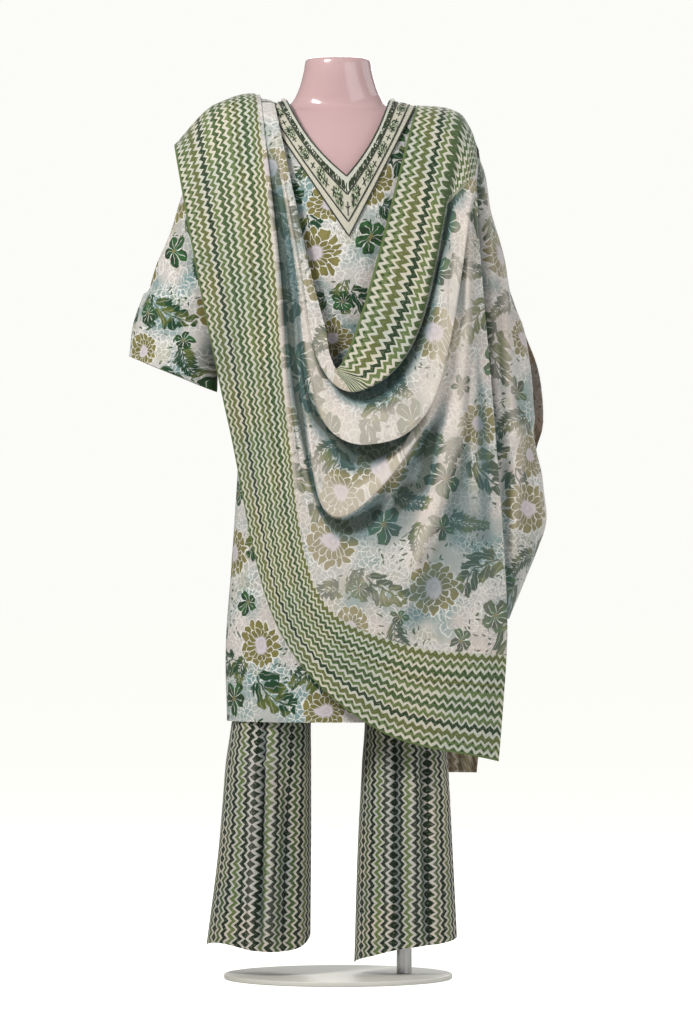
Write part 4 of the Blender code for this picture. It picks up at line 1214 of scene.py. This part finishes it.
def drape_front(per_station=40, per_fold=PER_FOLD, crisp=True):
    """The draped front's points, with its row and station numbers."""
    net = np.stack([
        np.stack([FRONT[name.format(s)] for s in FRONT_STATIONS], axis=1) for name in ("{}_x", "{}_z", "l{}")
    ], axis=-1)
    last = len(FRONT_STATIONS) - 1
    station = last * eased(0, 1, np.linspace(0, 1, last * per_station + 1))
    row = np.linspace(0, len(net) - 1, (len(net) - 1) * per_fold + 1)
    x, z, lift = np.moveaxis(resampled(net, row, station), -1, 0)
    reach = np.where(x < 0, read(DRAPE, "left", z), read(DRAPE, "right", z))
    depth, height = drape_depth(x, z, read(DRAPE, "front", z), reach)
    lift = np.maximum(lift, 0) + sum(fold_heights(x, z, FRONT_FOLDS))
    drop = 0.0
    if crisp:
        for at, start, end, high, wide, down in zip(*ROW_FOLDS.values()):
            shape = between(station, start, end, 0.3) * np.exp(-(((row[:, None] - at) / wide) ** 2)) / 1000
            lift = lift + high * shape
            drop = drop + down * shape
        edges = np.maximum(np.max(fold_heights(x, z, FIELD_EDGES, 0.02), axis=0), 0)
        lift = np.maximum(lift + edges, 0.0005)
    lean = height ** (ARCH - 1) * math.pi / 2
    points = stack(x, -SEAM / 2 - depth - lift * np.cos(lean), z - drop + lift * np.sin(lean))
    return points, row, station, lift


def fold_tone(lift, row, station):
    """How far each place of the drape stands out from its surroundings, from 0 in a trough to 1 on
    a crest, with the painted shade and light of the stretches beside the cowl. The dupatta's material
    paints shade in the troughs and highlight on the crests from it."""
    reach = PER_FOLD * 2
    wide = np.concatenate([lift[:1]] * reach + [lift] + [lift[-1:]] * reach)
    total = np.cumsum(np.concatenate([wide[:1] * 0, wide]), axis=0)
    level = (total[2 * reach + 1:] - total[:-2 * reach - 1]) / (2 * reach + 1)
    stretch_lighting = 0.0
    for low, high, start, end, soft, lighting in zip(*SHADE_AND_LIGHT_STRETCHES.values()):
        stretch_lighting = stretch_lighting + lighting * between(row, low, high, soft)[:, None] * between(station, start, end, 0.25)
    return np.clip(np.clip(0.5 + (lift - level) / 0.012, 0, 1) + stretch_lighting, 0, 1)


def laid_flat(points, rounds=1500):
    """A coarse grid's points in a plane, moved until its edges have nearly their real lengths."""
    flat = points[..., [0, 2]].copy()
    spans = []
    for down, along in ((0, 1), (1, 0), (1, 1), (1, -1)):
        first = (slice(0, points.shape[0] - down), slice(max(0, -along), points.shape[1] - max(0, along)))
        second = (slice(down, None), slice(max(0, along), points.shape[1] + min(0, along)))
        spans.append((first, second, np.linalg.norm(points[second] - points[first], axis=-1)[..., None]))
    for _ in range(rounds):
        move = np.zeros_like(flat)
        for first, second, real in spans:
            gap = flat[second] - flat[first]
            size = np.maximum(np.linalg.norm(gap, axis=-1, keepdims=True), 1e-9)
            fix = gap * (1 - real / size) / 2
            move[first] += fix
            move[second] -= fix
        flat += move / 4
    return flat


def border_across(points, row, station):
    """Distance from the nearest long edge at each point of the draped front, over the border's
    width where the flower print shows."""
    beyond = BORDER_WIDE + 0.05
    row = row[:, None]
    low = np.interp(row, [0, 1, 2, 3], [0.0, 0.0875, BORDER_WIDE, beyond])
    high = np.interp(row, [8, 8.9, 9.3, 10, 11], [BORDER_WIDE, 0.105, 0.085, 0.072, 0.0])
    (x0, z0), (x1, z1) = DIAGONAL
    above = points[..., 2] - z0 - (points[..., 0] - x0) * (z1 - z0) / (x1 - x0)
    near = np.where(points[..., 0] > 0.10, BORDER_WIDE - 20 * above, 1.0)
    high = np.where(row >= 9.75, high, np.maximum(high, near))
    high = high + np.maximum(3.15 - station, 0) * BORDER_RUNS_UNDER
    return np.minimum(low, np.where(row >= 8, high, beyond))


def add_dupatta(*materials):
    points, row, station, lift = drape_front()
    coarse = drape_front(8, 2, crisp=False)[0]
    at_row = np.linspace(0, len(coarse) - 1, len(row))
    at_column = np.linspace(0, coarse.shape[1] - 1, len(station))
    along = np.where(row[:, None] < 5, distances(points[16:17], 1), distances(points[-9:-8], 1))
    # The fold map holds where the material paints shade in the troughs and highlight on the crests
    maps = {
        "print": resampled(laid_flat(coarse), at_row, at_column) + (0.02, 0.06),
        "border": pair(along, border_across(points, row, station)),
        "fold": pair(fold_tone(lift, row, station), 0.0),
    }
    piece = dupatta_piece(materials, "dupatta_front", points, maps)

    points = arm_fall()
    x, y, z = np.moveaxis(points, -1, 0)
    across = distances(points, 1, (0, 1))
    relief = sum(fold_heights(x, z, ARM_FOLDS)) * np.where(y < 0, 1.0, 0.6)
    # Painted shadow where the arm fall starts under the front's right edge, lighter further round, with
    # painted shade and highlight on its folds
    lighting = np.clip(np.minimum(0.05 + across / 0.12, 0.45) + relief / 0.02, 0, 1)
    maps = {"print": pair(across + 0.29, z), "border": pair(across + 1.0, 1.0), "fold": pair(lighting, 0.0)}
    centres = stack(ARM_MIDDLE, 0.0, z)
    piece = dupatta_piece(materials, "dupatta_arm_fall", points, maps, centres=centres, raised=relief)

    for side, node, size, area in (
        (LEFT, "dupatta_tail_left", (0.16, 0.78), 0.12), (RIGHT, "dupatta_tail_right", (0.32, 1.13), 0.26),
    ):
        points = tail(side)
        across, down = distances(points, 1), distances(points, 0, (1, 2))
        edge = across if side == RIGHT else across[:, -1:] - across
        maps = {
            "print": pair(across + 0.1, -down), "border": pair(-down, edge),
            "fold": pair(across * 0 + 0.5, 0.0),
        }
        piece = dupatta_piece(materials, node, points, maps)


def capped(name, rings):
    return joined(name, [(rings.reshape(-1, 3), ring_faces(*rings.shape[:2]))], sharp=60)


def lathe(name, radius, low, high, bevel, x=POLE_X, sides=96):
    """A disc or rod with rounded edges."""
    turn = np.linspace(0, math.pi / 2, 6)
    in_, up = radius - bevel + bevel * np.sin(turn), bevel * (1 - np.cos(turn))
    wide = np.concatenate([in_, in_[::-1]])[:, None]
    z = np.concatenate([low + up, high - up[::-1]])[:, None]
    return capped(name, ring(wide, wide, wide, z, sides) + (x, 0, 0))


def add_form(plastic, steel, paint):
    z, wide, front, back = stations(FORM, (len(FORM["z"]) - 1) * 6 + 1)
    torso = capped("form_torso_shell", ring(wide, front, back, z, 128))
    dressed(torso, "form_plastic", plastic, "form_torso")
    high = FORM_BOTTOM - STAND_GAP
    low = high - SOCKET_TALL
    socket = lathe("pole_socket_steel", SOCKET_RADIUS, low, high, 0.002)
    dressed(socket, "stand_steel", steel, "pole_socket")
    pole = lathe("form_pole_steel", POLE_RADIUS, BASE_THICK + STAND_GAP, low - STAND_GAP, 0.0008)
    dressed(pole, "stand_steel", steel, "form_pole")
    base = lathe("form_base_plate", BASE_RADIUS, 0.0, BASE_THICK, 0.002, 0.0, 192)
    dressed(base, "base_paint", paint, "form_base")


# The studio
EYE = (0.014, -10.0, 0.777)
FRAME_TALL = 1.7067  # metres of the object's plane that fill the picture's height
SENSOR = 36.0
STUDIO_LIGHT = 0.26  # the world's strength as light
BACKDROP = 0.97  # and as the backdrop that the camera sees
FLOOR_GLOW = 0.82  # what the camera sees in the floor beyond its own light, to match the backdrop
FLOOR = 30.0
PALE = (1.0, 1.0, 0.965, 1)


def camera_switch(tree, socket, unseen, seen):
    """Gives a socket one number as light and another where the camera looks at it."""
    rays = tree.nodes.new("ShaderNodeLightPath")
    node = tree.nodes.new("ShaderNodeMapRange")
    node.inputs["To Min"].default_value = unseen
    node.inputs["To Max"].default_value = seen
    tree.links.new(rays.outputs["Is Camera Ray"], node.inputs["Value"])
    tree.links.new(node.outputs[0], socket)


def add_studio():
    camera = in_scene("camera", bpy.data.cameras.new("camera"))
    camera.location = EYE
    camera.rotation_euler = (math.pi / 2, 0, 0)
    camera.data.sensor_width = SENSOR
    camera.data.lens = SENSOR * -EYE[1] / FRAME_TALL
    bpy.context.scene.camera = camera

    mesh = bpy.data.meshes.new("floor")
    corners = [(x * FLOOR, y * FLOOR, 0) for x, y in ((-1, -1), (1, -1), (1, 1), (-1, 1))]
    mesh.from_pydata(corners, [], [(0, 1, 2, 3)])
    floor = in_scene("floor", mesh)
    paint = plain_material("floor_paint", (0.62, 0.62, 0.60, 1), 0.9, Emission_Color=PALE,
                           Specular_IOR_Level=0.0)
    glow = paint.node_tree.nodes["Principled BSDF"].inputs["Emission Strength"]
    camera_switch(paint.node_tree, glow, 0.0, FLOOR_GLOW)
    floor.data.materials.append(paint)

    for name, place, target, size, power, colour in (
        ("key", (-1.9, -2.6, 3.3), 0.9, 0.9, 128, (1.0, 0.98, 0.95)),
        ("fill", (2.6, -3.4, 1.6), 0.8, 2.6, 40, (0.95, 0.98, 1.0)),
        ("back", (0.6, 3.4, 2.6), 0.9, 2.6, 60, (1.0, 1.0, 1.0)),
        ("side", (3.6, 0.8, 1.8), 0.8, 2.6, 34, (1.0, 1.0, 1.0)),
    ):
        light = in_scene(name, bpy.data.lights.new(name, "AREA"))
        light.data.shape, light.data.size, light.data.energy, light.data.color = "SQUARE", size, power, colour
        light.location = place
        x, y, z = place
        light.rotation_euler = (math.atan2(math.hypot(x, y), z - target), 0, math.atan2(x, -y))

    world = bpy.data.worlds.new("studio")
    world.use_nodes = True
    background = world.node_tree.nodes["Background"]
    background.inputs["Color"].default_value = PALE
    camera_switch(world.node_tree, background.inputs["Strength"], STUDIO_LIGHT, BACKDROP)
    bpy.context.scene.world = world
    bpy.context.scene.view_settings.view_transform = "Standard"


add_kurta(kurta_material())
add_neck(
    neck_material(), plain_material("dark_thread", srgb(38, 46, 30), 0.7, 900.0, Sheen_Weight=0.3),
    plain_material("binding_cloth", srgb(214, 212, 204), 0.8, 1200.0, Sheen_Weight=0.2),
)
add_trousers(trouser_material())
add_dupatta(dupatta_material("dupatta_cloth"), dupatta_material("dupatta_reverse", reverse=True))
add_form(
    plain_material("form_plastic", srgb(202, 170, 171), 0.20, Coat_Weight=0.4, Coat_Roughness=0.08),
    plain_material("stand_steel", (0.62, 0.62, 0.63, 1), 0.32, 500.0, Metallic=1.0),
    plain_material("base_paint", srgb(222, 220, 212), 0.42, 300.0),
)
add_studio()
